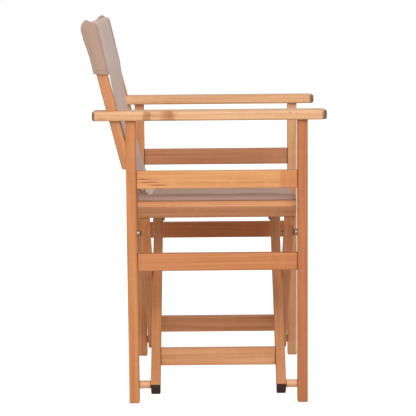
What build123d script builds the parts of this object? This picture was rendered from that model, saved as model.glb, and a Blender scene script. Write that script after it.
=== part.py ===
"""Folding armchair with wooden side frames, a crossed-leg scissor between them and a canvas sling.

The front of the chair faces +X, +Z is up, and the sitter's right-hand side is at -Y.
The origin is on the floor, at the bottom centre of the whole chair. Millimetres throughout.
The chair stands open. It folds side to side: two pairs of crossed boards turn about their
middle bolts, and the left side frame closes on the right one.
"""

from build123d import *
import os
from math import atan2, cos, degrees, radians, sin, tan

# Overall layout
LEG_PITCH_X = 371.0        # front leg centre to rear leg centre
FRAME_PITCH_Y = 445.0      # right leg centre to left leg centre
ARM_UNDERSIDE = 624.5
ARM_THICKNESS = 20.5

# Timber sections: fore-and-aft thickness, then width across the chair
LEG_THICKNESS, LEG_WIDTH = 22.0, 32.0
BOARD_THICKNESS, BOARD_WIDTH = 21.0, 34.0
RAIL_THICKNESS, RAIL_HEIGHT = 20.0, 38.0
SEAT_RAIL_THICKNESS, SEAT_RAIL_DEPTH = 21.0, 44.0
SEAT_RAIL_GAP = 0.6        # end of a seat rail to the leg beside it
SEAT_RAIL_EASE, SEAT_RAIL_END_EASE = 3.0, 0.6
EDGE = 2.0                 # eased edges of the square timber

# Armrests
ARM_BACK, ARM_FRONT, ARM_WIDTH = -267.0, 237.5, 60.0
ARM_FRONT_CORNER, ARM_BACK_CORNER, ARM_EDGE = 15.0, 9.0, 5.0

# Rails of a side frame, by the height of their lower edge
UPPER_RAIL_BOTTOM, LOWER_RAIL_BOTTOM = 476.0, 295.0
RAIL_SETBACK = 5.0         # rail face behind the outer face of the legs

# Back posts
POST_RECLINE = 14.2        # degrees from upright
POST_THICKNESS = 22.0
POST_REAR_AT_ARM = -236.2  # X of the post's rear face at the top of the armrest
POST_TOP, POST_FOOT = 826.0, 519.0
POST_SLOT_GAP = 0.4
POST_HOLE_REACH = 40.0     # from the leg's rear face, past the post's foot
POST_TIP = 4.0             # rounding of the bevelled foot
POST_SCREW_HEIGHTS = (537.0, 566.0)
SCREW_SINK = 3.6
POST_SCREW_END = 5.0       # in front of the rear leg's middle

# Scissor
OPEN_ANGLE = 46.0          # each board from upright, chair open
PIVOT_HEIGHT = 39.0
BOARD_REACH = 532.5        # lower pivot to the upper end of a board
FOOT_REACH = 11.5          # lower pivot to the sawn foot of a board
FOOT_CAP = 4.0             # rubber pad on the sawn foot
FOOT_CAP_INSET = 0.6       # pad edge inside the edge of the board
FOOT_CAP_EASE = 1.2
LEG_GAP = 3.5              # leg to outer board
BOARD_GAP = 1.0            # outer board to inner board
STRETCHER_REACH = 73.0
STRETCHER_THICKNESS, STRETCHER_HEIGHT = 20.0, 38.0
BOARD_TAPER = 50.0         # length over which a board narrows to meet its seat rail

# Links between the legs and the boards
LINK_LEG_HEIGHT = 377.3
LINK_REACH = 460.0         # along the board, from its lower pivot
LINK_WIDTH, LINK_THICKNESS = 14.0, 2.0
LINK_SCREW_END = 15.0      # depth of the link screws in the legs

# Fasteners
BOLT_R, HOLE_R = 4.0, 4.06
HEAD_R, HEAD_H, NUT_R, NUT_H, WASHER_H = 7.0, 3.6, 6.5, 6.0, 0.8
HEAD_SINK, NUT_SINK = 4.0, 7.2  # depth of the pockets for bolt heads and nuts
POCKET_GAP = 0.5           # play round a head or a nut in its pocket
SPACER_R, WASHER_R = 8.75, 8.0
SMALL_R, SMALL_HOLE_R, SMALL_HEAD_R, SMALL_HEAD_H = 2.5, 2.56, 5.0, 3.0
DOWEL_R, DOWEL_LENGTH = 4.0, 36.0

# Canvas
CLOTH = 2.4
HEM_R, ROD_R = 6.2, 2.5
SEAT_SAG = 15.0
SEAT_FRONT, SEAT_BACK = 171.0, -156.0
SEAT_CORNER_BACK = -170.0  # the seat runs back to here beside the back panel
SLEEVE_WALL, SLEEVE_GAP = 2.0, 3.0
SLEEVE_BOTTOM, SLEEVE_TOP = 724.0, 836.0
PANEL_LOWER_HALF_WIDTH = 158.0
PANEL_STRAIGHT_END = 612.0
PANEL_BELOW_SLEEVE_TOP = 4.0
PANEL_OVERLAP = 12.0       # the lower panel's start above the sleeves' lower hem
PANEL_FALL, PANEL_SWEEP = 130.0, 12.0  # how far the curve into the seat keeps each end's direction

# X range of the cutters that bore right through a spacer, a washer, a strap or a hem
NEAR_X, FAR_X = 100.0, 300.0

# Worked-out places
FRONT_LEG_X, REAR_LEG_X = LEG_PITCH_X / 2, -LEG_PITCH_X / 2
SIDE_Y = FRAME_PITCH_Y / 2
LEG_INNER_X = FRONT_LEG_X - LEG_THICKNESS / 2
OUTER_BOARD_OUT = LEG_INNER_X - LEG_GAP
OUTER_BOARD_IN = OUTER_BOARD_OUT - BOARD_THICKNESS
INNER_BOARD_OUT = OUTER_BOARD_IN - BOARD_GAP
INNER_BOARD_IN = INNER_BOARD_OUT - BOARD_THICKNESS
CENTRE_REACH = SIDE_Y / sin(radians(OPEN_ANGLE))
RAIL_REACH = BOARD_REACH + SEAT_RAIL_DEPTH / 2
SLOPE = tan(radians(POST_RECLINE))
POST_DEPTH = POST_THICKNESS / cos(radians(POST_RECLINE))
SEAT_RAIL_HALF = LEG_INNER_X - SEAT_RAIL_GAP
# The chair's box runs from the back of the sleeves to the front of the armrests
SLEEVE_BACK_X = (POST_REAR_AT_ARM - SLOPE * (SLEEVE_TOP - ARM_UNDERSIDE - ARM_THICKNESS)
                 - (SLEEVE_GAP + SLEEVE_WALL) / cos(radians(POST_RECLINE)))
SHIFT_X = -(SLEEVE_BACK_X + ARM_FRONT) / 2

SIDES = {"right": -1, "left": 1}
ENDS = {"front": 1, "rear": -1}
parts = {}


def block(x0, x1, y0, y1, z0, z1, ease=EDGE):
    """A box between six planes, with its edges eased."""
    size = (x1 - x0, y1 - y0, z1 - z0)
    solid = Pos((x0 + x1) / 2, (y0 + y1) / 2, (z0 + z1) / 2) * Box(*size)
    return fillet(solid.edges(), ease) if ease else solid


def rod_x(x0, x1, y, z, radius):
    """A round bar along X."""
    return Pos((x0 + x1) / 2, y, z) * Rot(0, 90, 0) * Cylinder(radius, abs(x1 - x0))


def hex_x(x0, x1, y, z, radius):
    """A hexagon nut body along X."""
    low = min(x0, x1)
    return extrude(Plane((low, y, z), x_dir=(0, 1, 0), z_dir=(1, 0, 0)) * RegularPolygon(radius, 6),
                   abs(x1 - x0))


def dome_head(x, y, z, direction, radius=HEAD_R, height=HEAD_H):
    """A low round bolt head standing on the plane at x, facing along X in the given direction."""
    head = rod_x(x, x + direction * height, y, z, radius)
    rim = head.edges().filter_by(GeomType.CIRCLE).sort_by(Axis.X)
    return fillet(rim[-1] if direction > 0 else rim[0], height * 0.6)


def group(*solids):
    """Several separate solids kept in one node."""
    return Compound(list(solids))


def add(name, shape):
    """Keep one finished piece, moved so that the origin is under the middle of the chair."""
    parts[name] = Pos(SHIFT_X, 0, 0) * shape


def board_frame(lean):
    """Upright board axes: lean is +1 for a board rising to the left, -1 for one rising to the right."""
    return Pos(0, -lean * SIDE_Y, PIVOT_HEIGHT) * Rot(-lean * OPEN_ANGLE, 0, 0)


def post_rear(z):
    """X of a back post's rear face at height z."""
    return POST_REAR_AT_ARM - SLOPE * (z - ARM_UNDERSIDE - ARM_THICKNESS)


def post_block(z0, z1, grow, y, half_width):
    """A leaning box that follows the back post, grown on its front and rear faces."""
    reach = grow / cos(radians(POST_RECLINE))
    outline = Polyline((post_rear(z0) - reach, z0), (post_rear(z0) + POST_DEPTH + reach, z0),
                       (post_rear(z1) + POST_DEPTH + reach, z1), (post_rear(z1) - reach, z1), close=True)
    return extrude(Plane.XZ * make_face(outline), half_width, both=True).moved(Pos(0, y, 0))


def leg(side, end):
    """A full-height leg, bored for its pivot bolt, its link screw, its dowels and the rails' dowels."""
    y, x, out = SIDES[side] * SIDE_Y, ENDS[end] * FRONT_LEG_X, ENDS[end]
    body = block(x - LEG_THICKNESS / 2, x + LEG_THICKNESS / 2, y - LEG_WIDTH / 2, y + LEG_WIDTH / 2,
                 0, ARM_UNDERSIDE)
    body -= rod_x(x - LEG_THICKNESS, x + LEG_THICKNESS, y, PIVOT_HEIGHT, HOLE_R)
    outer_face = x + out * LEG_THICKNESS / 2
    body -= rod_x(outer_face - out * HEAD_SINK, outer_face + out, y, PIVOT_HEIGHT, HEAD_R + POCKET_GAP)
    inner = out * LEG_INNER_X
    body -= rod_x(inner - out, inner + out * (LINK_SCREW_END + 1), y, LINK_LEG_HEIGHT, SMALL_HOLE_R)
    for z in rail_dowel_heights():
        body -= rod_x(inner - out, inner + out * DOWEL_LENGTH / 2, rail_y(side), z, DOWEL_R + 0.05)
    body -= Pos(x, y, ARM_UNDERSIDE) * Cylinder(DOWEL_R + 0.05, DOWEL_LENGTH)
    if end == "rear":
        for z in POST_SCREW_HEIGHTS:
            body -= rod_x(x - LEG_THICKNESS, x + POST_SCREW_END + 1, y, z, SMALL_HOLE_R)
    return body


def rail_y(side):
    """Y of the middle of a side frame's rails."""
    outer = SIDES[side] * (SIDE_Y + LEG_WIDTH / 2 - RAIL_SETBACK)
    return outer - SIDES[side] * RAIL_THICKNESS / 2


def rail_dowel_heights():
    """Heights of the dowels at the ends of the two rails, two in each rail."""
    return [bottom + RAIL_HEIGHT * share for bottom in (UPPER_RAIL_BOTTOM, LOWER_RAIL_BOTTOM)
            for share in (0.27, 0.73)]


def side_rail(side, bottom):
    """A rail between the legs of one side frame."""
    y = rail_y(side)
    body = block(-LEG_INNER_X, LEG_INNER_X, y - RAIL_THICKNESS / 2, y + RAIL_THICKNESS / 2,
                 bottom, bottom + RAIL_HEIGHT)
    for z in rail_dowel_heights():
        for x in (-LEG_INNER_X, LEG_INNER_X):
            body -= rod_x(x - DOWEL_LENGTH / 2, x + DOWEL_LENGTH / 2, y, z, DOWEL_R + 0.05)
    return body


def armrest(side):
    """An armrest with rounded corners, a slot for the back post and blind holes for two dowels."""
    y = SIDES[side] * SIDE_Y
    half = ARM_WIDTH / 2
    body = Pos((ARM_BACK + ARM_FRONT) / 2, y, ARM_UNDERSIDE + ARM_THICKNESS / 2) * Box(
        ARM_FRONT - ARM_BACK, ARM_WIDTH, ARM_THICKNESS)
    upright = body.edges().filter_by(Axis.Z).sort_by(Axis.X)
    body = fillet(upright[:2], ARM_BACK_CORNER)
    upright = body.edges().filter_by(Axis.Z).group_by(Axis.X)[-1]
    body = fillet(upright, ARM_FRONT_CORNER)
    rims = body.faces().sort_by(Axis.Z)
    body = fillet(rims[0].edges() + rims[-1].edges(), ARM_EDGE)
    slot = post_block(ARM_UNDERSIDE - 9, ARM_UNDERSIDE + ARM_THICKNESS + 9, POST_SLOT_GAP,
                      y, LEG_WIDTH / 2 + POST_SLOT_GAP)
    body -= slot
    for x in (FRONT_LEG_X, REAR_LEG_X):
        body -= Pos(x, y, ARM_UNDERSIDE) * Cylinder(DOWEL_R + 0.05, DOWEL_LENGTH * 0.8)
    return body


def back_post(side):
    """A leaning post, bevelled at its foot to lie flat against the rear face of the rear leg."""
    y = SIDES[side] * SIDE_Y
    leg_face = REAR_LEG_X - LEG_THICKNESS / 2
    meeting = POST_TOP - (leg_face - post_rear(POST_TOP) - POST_DEPTH) / SLOPE
    outline = make_face(Polyline(
        (post_rear(POST_FOOT), POST_FOOT), (leg_face, POST_FOOT), (leg_face, meeting),
        (post_rear(POST_TOP) + POST_DEPTH, POST_TOP), (post_rear(POST_TOP), POST_TOP), close=True))
    outline = fillet(outline.vertices().group_by(Axis.Y)[0].sort_by(Axis.X)[0], POST_TIP)
    body = extrude(Plane.XZ * outline, LEG_WIDTH / 2, both=True)
    body = fillet(body.edges().filter_by(lambda e: e.length > 200), EDGE)
    body = Pos(0, y, 0) * body
    for z in POST_SCREW_HEIGHTS:
        body -= rod_x(leg_face - POST_HOLE_REACH, leg_face + 5, y, z, SMALL_HOLE_R)
        body -= rod_x(leg_face - POST_HOLE_REACH, post_rear(z) + SCREW_SINK, y, z, SMALL_HEAD_R + 0.3)
    return body


def post_screws(side):
    """Two screws from the rear, through a post's foot and into the rear leg."""
    y = SIDES[side] * SIDE_Y
    screws = []
    for z in POST_SCREW_HEIGHTS:
        seat = post_rear(z) + SCREW_SINK
        screws.append(rod_x(seat, REAR_LEG_X + POST_SCREW_END, y, z, SMALL_R)
                      + dome_head(seat, y, z, -1, SMALL_HEAD_R, SMALL_HEAD_H))
    return group(*screws)


def frame_dowels(side):
    """The dowels that hold the armrest and the two rails to the legs of one side frame."""
    y = SIDES[side] * SIDE_Y
    pins = [Pos(x, y, ARM_UNDERSIDE - 2) * Cylinder(DOWEL_R, DOWEL_LENGTH * 0.8 - 4)
            for x in (FRONT_LEG_X, REAR_LEG_X)]
    pins += [rod_x(x - DOWEL_LENGTH / 2 + 1, x + DOWEL_LENGTH / 2 - 1, rail_y(side), z, DOWEL_R)
             for z in rail_dowel_heights() for x in (-LEG_INNER_X, LEG_INNER_X)]
    return group(*pins)


def pivot_hardware(side, board_outer, board_inner):
    """Bolts, nuts and spacers of one side frame's lower pivots, front and rear."""
    y = SIDES[side] * SIDE_Y
    bolts, nuts, spacers = [], [], []
    head_face = FRONT_LEG_X + LEG_THICKNESS / 2 - HEAD_SINK
    for out in ENDS.values():
        nut_face = out * (board_inner + NUT_SINK - POCKET_GAP)
        shank_end = nut_face - out * (NUT_H - 1.5)
        bolts.append(rod_x(out * head_face, shank_end, y, PIVOT_HEIGHT, BOLT_R)
                     + dome_head(out * head_face, y, PIVOT_HEIGHT, out))
        nut = hex_x(nut_face, nut_face - out * NUT_H, y, PIVOT_HEIGHT, NUT_R)
        nuts.append(nut - rod_x(nut_face + out, shank_end - out * 0.1, y, PIVOT_HEIGHT, BOLT_R + 0.02))
        tube = rod_x(out * LEG_INNER_X, out * (board_outer + 0.3), y, PIVOT_HEIGHT, SPACER_R)
        if LEG_INNER_X - board_outer > 10:
            tube = fillet(tube.edges().filter_by(GeomType.CIRCLE), 1.5)
        spacers.append(tube - rod_x(out * NEAR_X, out * FAR_X, y, PIVOT_HEIGHT, HOLE_R))
    return group(*bolts), group(*nuts), group(*spacers)


def board(lean, end, outer_x, inner_x):
    """A crossed board, narrowed at the top to the thickness of its seat rail."""
    half, tip = BOARD_WIDTH / 2, SEAT_RAIL_THICKNESS / 2
    narrow = BOARD_REACH - BOARD_TAPER
    outline = Polyline((-half, -FOOT_REACH), (half, -FOOT_REACH), (half, narrow), (tip, BOARD_REACH),
                       (-tip, BOARD_REACH), (-half, narrow), close=True)
    flat = Plane((0, 0, 0), x_dir=(0, 1, 0), z_dir=(1, 0, 0)) * make_face(outline)
    body = extrude(flat, BOARD_THICKNESS)
    long_edges = body.edges().filter_by(lambda e: abs(e.tangent_at(0.5).Z) > 0.9 and e.length > 60)
    body = fillet(long_edges, EDGE)
    low = min(ENDS[end] * outer_x, ENDS[end] * inner_x)
    body = Pos(low, 0, 0) * body
    body -= rod_x(low - 5, low + BOARD_THICKNESS + 5, 0, 0, HOLE_R)
    body -= rod_x(low - 5, low + BOARD_THICKNESS + 5, 0, CENTRE_REACH, HOLE_R)
    body -= rod_x(low - 5, low + BOARD_THICKNESS + 5, 0, LINK_REACH, SMALL_HOLE_R)
    inner_face, out = ENDS[end] * inner_x, ENDS[end]
    body -= rod_x(inner_face - out, inner_face + out * NUT_SINK, 0, 0, NUT_R + POCKET_GAP)
    if inner_x == INNER_BOARD_IN:
        body -= rod_x(inner_face - out, inner_face + out * NUT_SINK, 0, CENTRE_REACH, NUT_R + POCKET_GAP)
    else:
        outer_face = out * outer_x
        body -= rod_x(outer_face + out, outer_face - out * HEAD_SINK, 0, CENTRE_REACH, HEAD_R + POCKET_GAP)
    body -= link_head_cone(ENDS[end], outer_x, 0.06)
    body -= Pos(low + BOARD_THICKNESS / 2, 0, BOARD_REACH) * Cylinder(DOWEL_R + 0.05, DOWEL_LENGTH)
    return board_frame(lean) * body


def link_head_cone(out, outer_x, grow):
    """The countersunk head of a link bolt, flush with the outer face of its board."""
    cone = Rot(0, out * 90, 0) * Cone(SMALL_R + grow, SMALL_HEAD_R + grow, 2.4)
    return Pos(out * (outer_x - 1.2 + grow), 0, LINK_REACH) * cone


def link_bolts(lean, outer_x, inner_x):
    """Bolt and nut at the board end of each link, front and rear."""
    pieces = []
    for out in ENDS.values():
        nut_face = out * inner_x
        end = nut_face - out * 4.5
        shank = rod_x(out * (outer_x - 0.6), end, 0, LINK_REACH, SMALL_R)
        nut = hex_x(nut_face, nut_face - out * 4.0, 0, LINK_REACH, 4.6)
        bolt = shank + nut + link_head_cone(out, outer_x, 0)
        pieces.append(bolt)
    return board_frame(lean) * group(*pieces)


def rubber_feet(lean, outer_x, inner_x):
    """Flat rubber pads on the sawn feet of a pair of boards."""
    pads = []
    half = BOARD_WIDTH / 2 - FOOT_CAP_INSET
    for out in ENDS.values():
        x0, x1 = sorted((out * inner_x, out * outer_x))
        pads.append(block(x0 + FOOT_CAP_INSET, x1 - FOOT_CAP_INSET, -half, half,
                          -FOOT_REACH - FOOT_CAP, -FOOT_REACH, FOOT_CAP_EASE))
    return board_frame(lean) * group(*pads)


def stretcher(lean, inner_x):
    """The cross bar low down between a pair of boards, upright when the chair is open."""
    y = -lean * (SIDE_Y - STRETCHER_REACH * sin(radians(OPEN_ANGLE)))
    z = PIVOT_HEIGHT + STRETCHER_REACH * cos(radians(OPEN_ANGLE))
    return block(-inner_x, inner_x, y - STRETCHER_THICKNESS / 2, y + STRETCHER_THICKNESS / 2,
                 z - STRETCHER_HEIGHT / 2, z + STRETCHER_HEIGHT / 2)


def hem_centre(lean):
    """Y and Z of the middle of the rolled hem on a seat rail."""
    at = board_frame(lean) * Pos(0, -lean * SEAT_RAIL_THICKNESS / 2, RAIL_REACH + SEAT_RAIL_DEPTH / 2 + 2)
    return at.position.Y, at.position.Z


def seat_rail(lean, board_mid_x):
    """The rail on the upper ends of a pair of boards, rebated along its inner corner for the hem."""
    half = SEAT_RAIL_THICKNESS / 2
    body = block(-SEAT_RAIL_HALF, SEAT_RAIL_HALF, -half, half, BOARD_REACH, BOARD_REACH + SEAT_RAIL_DEPTH, ease=0)
    body = fillet(body.edges().filter_by(Axis.X), SEAT_RAIL_EASE)
    body = fillet(body.faces().filter_by(Axis.X).edges(), SEAT_RAIL_END_EASE)
    for x in (-board_mid_x, board_mid_x):
        body -= Pos(x, 0, BOARD_REACH) * Cylinder(DOWEL_R + 0.05, DOWEL_LENGTH)
    body = board_frame(lean) * body
    y, z = hem_centre(lean)
    return body - rod_x(-FAR_X, FAR_X, y, z, HEM_R + 0.6)


def seat_rail_dowels(lean, board_mid_x):
    """The dowels between a seat rail and its two boards."""
    pins = [Pos(x, 0, BOARD_REACH) * Cylinder(DOWEL_R, DOWEL_LENGTH - 2)
            for x in (-board_mid_x, board_mid_x)]
    return board_frame(lean) * group(*pins)


def hem_rod(lean):
    """The rod inside a seat hem."""
    y, z = hem_centre(lean)
    return rod_x(SEAT_CORNER_BACK + 4, SEAT_FRONT - 4, y, z, ROD_R)


def centre_hardware():
    """Bolts, nuts and washers where the boards cross, front and rear."""
    z = PIVOT_HEIGHT + SIDE_Y / tan(radians(OPEN_ANGLE))
    bolts, nuts, washers = [], [], []
    for out in ENDS.values():
        nut_face = out * (INNER_BOARD_IN + NUT_SINK - POCKET_GAP)
        end = nut_face - out * (NUT_H - 1.5)
        head = out * (OUTER_BOARD_OUT - HEAD_SINK + POCKET_GAP / 2)
        bolts.append(rod_x(head, end, 0, z, BOLT_R) + dome_head(head, 0, z, out, HEAD_R, HEAD_H))
        nut = hex_x(nut_face, nut_face - out * NUT_H, 0, z, NUT_R)
        nuts.append(nut - rod_x(nut_face + out, end - out * 0.1, 0, z, BOLT_R + 0.02))
        ring = rod_x(out * INNER_BOARD_OUT, out * (INNER_BOARD_OUT + WASHER_H), 0, z, WASHER_R)
        washers.append(ring - rod_x(out * NEAR_X, out * FAR_X, 0, z, HOLE_R))
    return group(*bolts), group(*nuts), group(*washers)


def link(side, strap_x):
    """Flat link straps from the legs of one side frame to its boards, front and rear."""
    lean = SIDES[side]
    y0, z0 = SIDES[side] * SIDE_Y, LINK_LEG_HEIGHT
    end = board_frame(lean) * Pos(0, 0, LINK_REACH)
    y1, z1 = end.position.Y, end.position.Z
    length = ((y1 - y0) ** 2 + (z1 - z0) ** 2) ** 0.5
    turn = degrees(atan2(z1 - z0, y1 - y0))
    straps = []
    for out in ENDS.values():
        slot = Plane((0, 0, 0), x_dir=(0, 1, 0), z_dir=(1, 0, 0)) * SlotCenterToCenter(length, LINK_WIDTH)
        strap = extrude(slot, LINK_THICKNESS)
        strap = Pos(-LINK_THICKNESS / 2, length / 2, 0) * strap
        strap = Pos(out * (strap_x + LINK_THICKNESS / 2), y0, z0) * Rot(turn, 0, 0) * strap
        strap -= rod_x(out * NEAR_X, out * FAR_X, y0, z0, SMALL_HOLE_R)
        straps.append(strap)
    return group(*straps)


def link_screws(side, strap_x):
    """Shouldered screws that hold the links to the legs, front and rear."""
    y = SIDES[side] * SIDE_Y
    screws = []
    for out in ENDS.values():
        head = out * (strap_x - 0.3)
        screws.append(rod_x(head, out * (LEG_INNER_X + LINK_SCREW_END), y, LINK_LEG_HEIGHT, SMALL_R)
                      + dome_head(head, y, LINK_LEG_HEIGHT, -out, SMALL_HEAD_R, SMALL_HEAD_H))
    return group(*screws)


def link_spacers(side, strap_x):
    """Round spacers that carry the left links out from the legs to the inner boards."""
    y = SIDES[side] * SIDE_Y
    tubes = []
    for out in ENDS.values():
        tube = rod_x(out * LEG_INNER_X, out * (strap_x + LINK_THICKNESS + 0.3), y, LINK_LEG_HEIGHT, 7.5)
        tube = fillet(tube.edges().filter_by(GeomType.CIRCLE), 1.2)
        tubes.append(tube - rod_x(out * NEAR_X, out * FAR_X, y, LINK_LEG_HEIGHT, SMALL_HOLE_R))
    return group(*tubes)


def sleeve(side):
    """The canvas sleeve round the upper end of a back post."""
    y = SIDES[side] * SIDE_Y
    half = LEG_WIDTH / 2 + SLEEVE_GAP
    outside = post_block(SLEEVE_BOTTOM, SLEEVE_TOP, SLEEVE_GAP + SLEEVE_WALL, y, half + SLEEVE_WALL)
    outside = fillet(outside.edges().filter_by(lambda e: abs(e.tangent_at(0.5).Z) > 0.5), 6.0)
    inside = post_block(SLEEVE_BOTTOM - 10, SLEEVE_TOP - SLEEVE_WALL, SLEEVE_GAP, y, half)
    return outside - inside


def panel_line(z):
    """X of the back panel's mid surface at height z, just in front of the posts."""
    return post_rear(z) + POST_DEPTH + SLEEVE_GAP


def back_panel():
    """The canvas back: full width between the sleeves, narrower below, then curving into the seat."""
    seat_z = hem_centre(1)[1] + HEM_R - SEAT_SAG
    top = SLEEVE_TOP - PANEL_BELOW_SLEEVE_TOP
    upper = Polyline((panel_line(top) - CLOTH, top), (panel_line(top), top),
                     (panel_line(SLEEVE_BOTTOM), SLEEVE_BOTTOM),
                     (panel_line(SLEEVE_BOTTOM) - CLOTH, SLEEVE_BOTTOM), close=True)
    gap = LEG_WIDTH / 2 + SLEEVE_GAP + SLEEVE_WALL + 0.3
    wide = extrude(Plane.XZ * make_face(upper), SIDE_Y - gap, both=True)
    start = (panel_line(PANEL_STRAIGHT_END), PANEL_STRAIGHT_END)
    finish = (SEAT_BACK - 2, seat_z)
    bend = (start[0] + SLOPE * PANEL_FALL, start[1] - PANEL_FALL), (finish[0] - PANEL_SWEEP, finish[1] + 6)
    head = (panel_line(SLEEVE_BOTTOM + PANEL_OVERLAP), SLEEVE_BOTTOM + PANEL_OVERLAP)
    drop = CLOTH * 0.8
    front = Polyline(head, start) + Bezier(start, *bend, finish)
    behind = Pos(-drop, -drop) * front
    rim = Polyline(finish, (finish[0] - drop, finish[1] - drop))
    cut = Polyline(head, (head[0] - drop, head[1] - drop))
    lower = extrude(Plane.XZ * make_face(front + rim + behind + cut), PANEL_LOWER_HALF_WIDTH, both=True)
    return wide + lower


def seat_sling():
    """The canvas seat, sagging between the seat rails, with a rolled hem on each."""
    y, z = hem_centre(1)
    top, low = z + HEM_R, z + HEM_R - CLOTH
    y = abs(y)
    upper = ThreePointArc((-y, top), (0, top - SEAT_SAG), (y, top))
    under = ThreePointArc((y, low), (0, low - SEAT_SAG), (-y, low))
    sheet = make_face(upper + Line((y, top), (y, low)) + under + Line((-y, low), (-y, top)))
    body = Pos(SEAT_CORNER_BACK, 0, 0) * extrude(Plane.YZ * sheet, SEAT_FRONT - SEAT_CORNER_BACK)
    between = PANEL_LOWER_HALF_WIDTH + 2
    body -= block(SEAT_CORNER_BACK - 5, SEAT_BACK, -between, between, low - SEAT_SAG - 5, top + 5, ease=0)
    for hem_y in (-y, y):
        body += rod_x(SEAT_CORNER_BACK, SEAT_FRONT, hem_y, z, HEM_R)
    for hem_y in (-y, y):
        body -= rod_x(-FAR_X, FAR_X, hem_y, z, ROD_R + 0.4)
    return body


def build():
    """Make every node."""
    board_faces = {"right": (INNER_BOARD_OUT, INNER_BOARD_IN), "left": (OUTER_BOARD_OUT, OUTER_BOARD_IN)}
    strap_x = {"right": OUTER_BOARD_OUT + 0.75, "left": INNER_BOARD_OUT + 0.75}
    for side in SIDES:
        for end in ENDS:
            add(f"{side}_{end}_leg", leg(side, end))
        add(f"{side}_armrest", armrest(side))
        add(f"{side}_upper_rail", side_rail(side, UPPER_RAIL_BOTTOM))
        add(f"{side}_lower_rail", side_rail(side, LOWER_RAIL_BOTTOM))
        add(f"{side}_back_post", back_post(side))
        add(f"{side}_post_screws", post_screws(side))
        add(f"{side}_frame_dowels", frame_dowels(side))
        bolts, nuts, spacers = pivot_hardware(side, *board_faces[side])
        add(f"{side}_pivot_bolts", bolts)
        add(f"{side}_pivot_nuts", nuts)
        add(f"{side}_pivot_spacers", spacers)
        add(f"{side}_links", link(side, strap_x[side]))
        add(f"{side}_link_screws", link_screws(side, strap_x[side]))
        add(f"{side}_back_sleeve", sleeve(side))
    add("left_link_spacers", link_spacers("left", strap_x["left"]))

    # The inner boards rise from the right feet to the left seat rail, the outer boards the other way
    pairs = {"inner": (1, INNER_BOARD_OUT, INNER_BOARD_IN, "left"),
             "outer": (-1, OUTER_BOARD_OUT, OUTER_BOARD_IN, "right")}
    for pair, (lean, outer_x, inner_x, rail_side) in pairs.items():
        middle = (outer_x + inner_x) / 2
        for end in ENDS:
            add(f"{pair}_{end}_board", board(lean, end, outer_x, inner_x))
        add(f"{pair}_stretcher", stretcher(lean, inner_x))
        add(f"{pair}_rubber_feet", rubber_feet(lean, outer_x, inner_x))
        add(f"{pair}_link_bolts", link_bolts(lean, outer_x, inner_x))
        add(f"{rail_side}_seat_rail", seat_rail(lean, middle))
        add(f"{rail_side}_seat_rail_dowels", seat_rail_dowels(lean, middle))
        add(f"{rail_side}_hem_rod", hem_rod(lean))
    bolts, nuts, washers = centre_hardware()
    add("centre_bolts", bolts)
    add("centre_nuts", nuts)
    add("centre_washers", washers)
    add("back_panel", back_panel())
    add("seat_sling", seat_sling())


build()
os.makedirs("parts", exist_ok=True)
for name, shape in parts.items():
    export_step(shape, f"parts/{name}.step")
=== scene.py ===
"""Looks of a folding armchair with oiled timber frames and a canvas sling.

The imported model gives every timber, bolt, link and foot its shape and place, and this script gives
them their finishes. It also models the canvas: two sleeves on the back posts, the back between them
and the seat between the seat rails, each with its hems and stitching.
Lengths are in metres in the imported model's frame: +X is the front of the chair and +Z is up.
"""

import logging
import math
from dataclasses import dataclass, field
from enum import Enum
from typing import Callable, Iterable, Sequence

import bmesh
import bpy
from mathutils import Matrix, Vector, noise


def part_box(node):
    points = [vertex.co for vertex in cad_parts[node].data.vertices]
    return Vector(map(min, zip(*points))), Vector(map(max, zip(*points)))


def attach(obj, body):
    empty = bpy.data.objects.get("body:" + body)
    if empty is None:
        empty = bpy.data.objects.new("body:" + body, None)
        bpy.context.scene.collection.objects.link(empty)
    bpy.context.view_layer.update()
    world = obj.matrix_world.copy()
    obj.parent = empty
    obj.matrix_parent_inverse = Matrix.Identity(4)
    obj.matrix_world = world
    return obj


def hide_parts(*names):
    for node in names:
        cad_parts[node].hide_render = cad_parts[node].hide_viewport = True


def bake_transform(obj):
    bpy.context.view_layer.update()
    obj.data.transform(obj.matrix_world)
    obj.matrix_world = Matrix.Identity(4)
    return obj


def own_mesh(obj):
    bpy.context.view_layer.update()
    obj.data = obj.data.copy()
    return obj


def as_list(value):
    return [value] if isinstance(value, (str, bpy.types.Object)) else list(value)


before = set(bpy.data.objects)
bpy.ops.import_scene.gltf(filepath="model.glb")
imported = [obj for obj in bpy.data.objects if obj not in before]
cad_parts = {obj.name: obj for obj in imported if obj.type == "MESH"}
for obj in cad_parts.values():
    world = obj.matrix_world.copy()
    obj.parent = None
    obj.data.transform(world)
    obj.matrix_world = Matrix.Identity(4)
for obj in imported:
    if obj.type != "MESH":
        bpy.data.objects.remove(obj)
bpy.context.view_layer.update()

log = logging.getLogger("folding_armchair")

MM = 0.001
POST_SLOPE = math.tan(math.radians(14.2))      # recline of the back posts
BOARD_LEAN = math.radians(46.0)                # each crossed board from upright
POST_DEPTH = 22.69 * MM                        # a leaning post along X
STITCH_BATCH = 30                              # stitches made in one small mesh
CLOTH = 1.1 * MM                               # thickness of the canvas
HEM_CLOTH = 0.9 * MM                           # thickness of a hem or binding on it
GRID = 4.2 * MM                                # spacing of a sheet's points
STITCH = 3.4 * MM                              # one stitch and its gap
TOP_LIFT, UNDER_LIFT = 0.62 * MM, -1.42 * MM   # stitches off the middle of the back's and seat's cloth
SEAT_UNDER_LIFT = -0.7 * MM                    # stitches under the seat, which has no hem at its sides
ROLLED = math.radians(320)                     # how far a seat hem goes round its rod
EARS = (("right", -1, 0.46), ("left", 1, 0.58))  # side, its sign and the place of its sleeve's ear

Colour = tuple[float, float, float]
Point = tuple[float, float]
Surface = Callable[[float, float], Vector]


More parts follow.
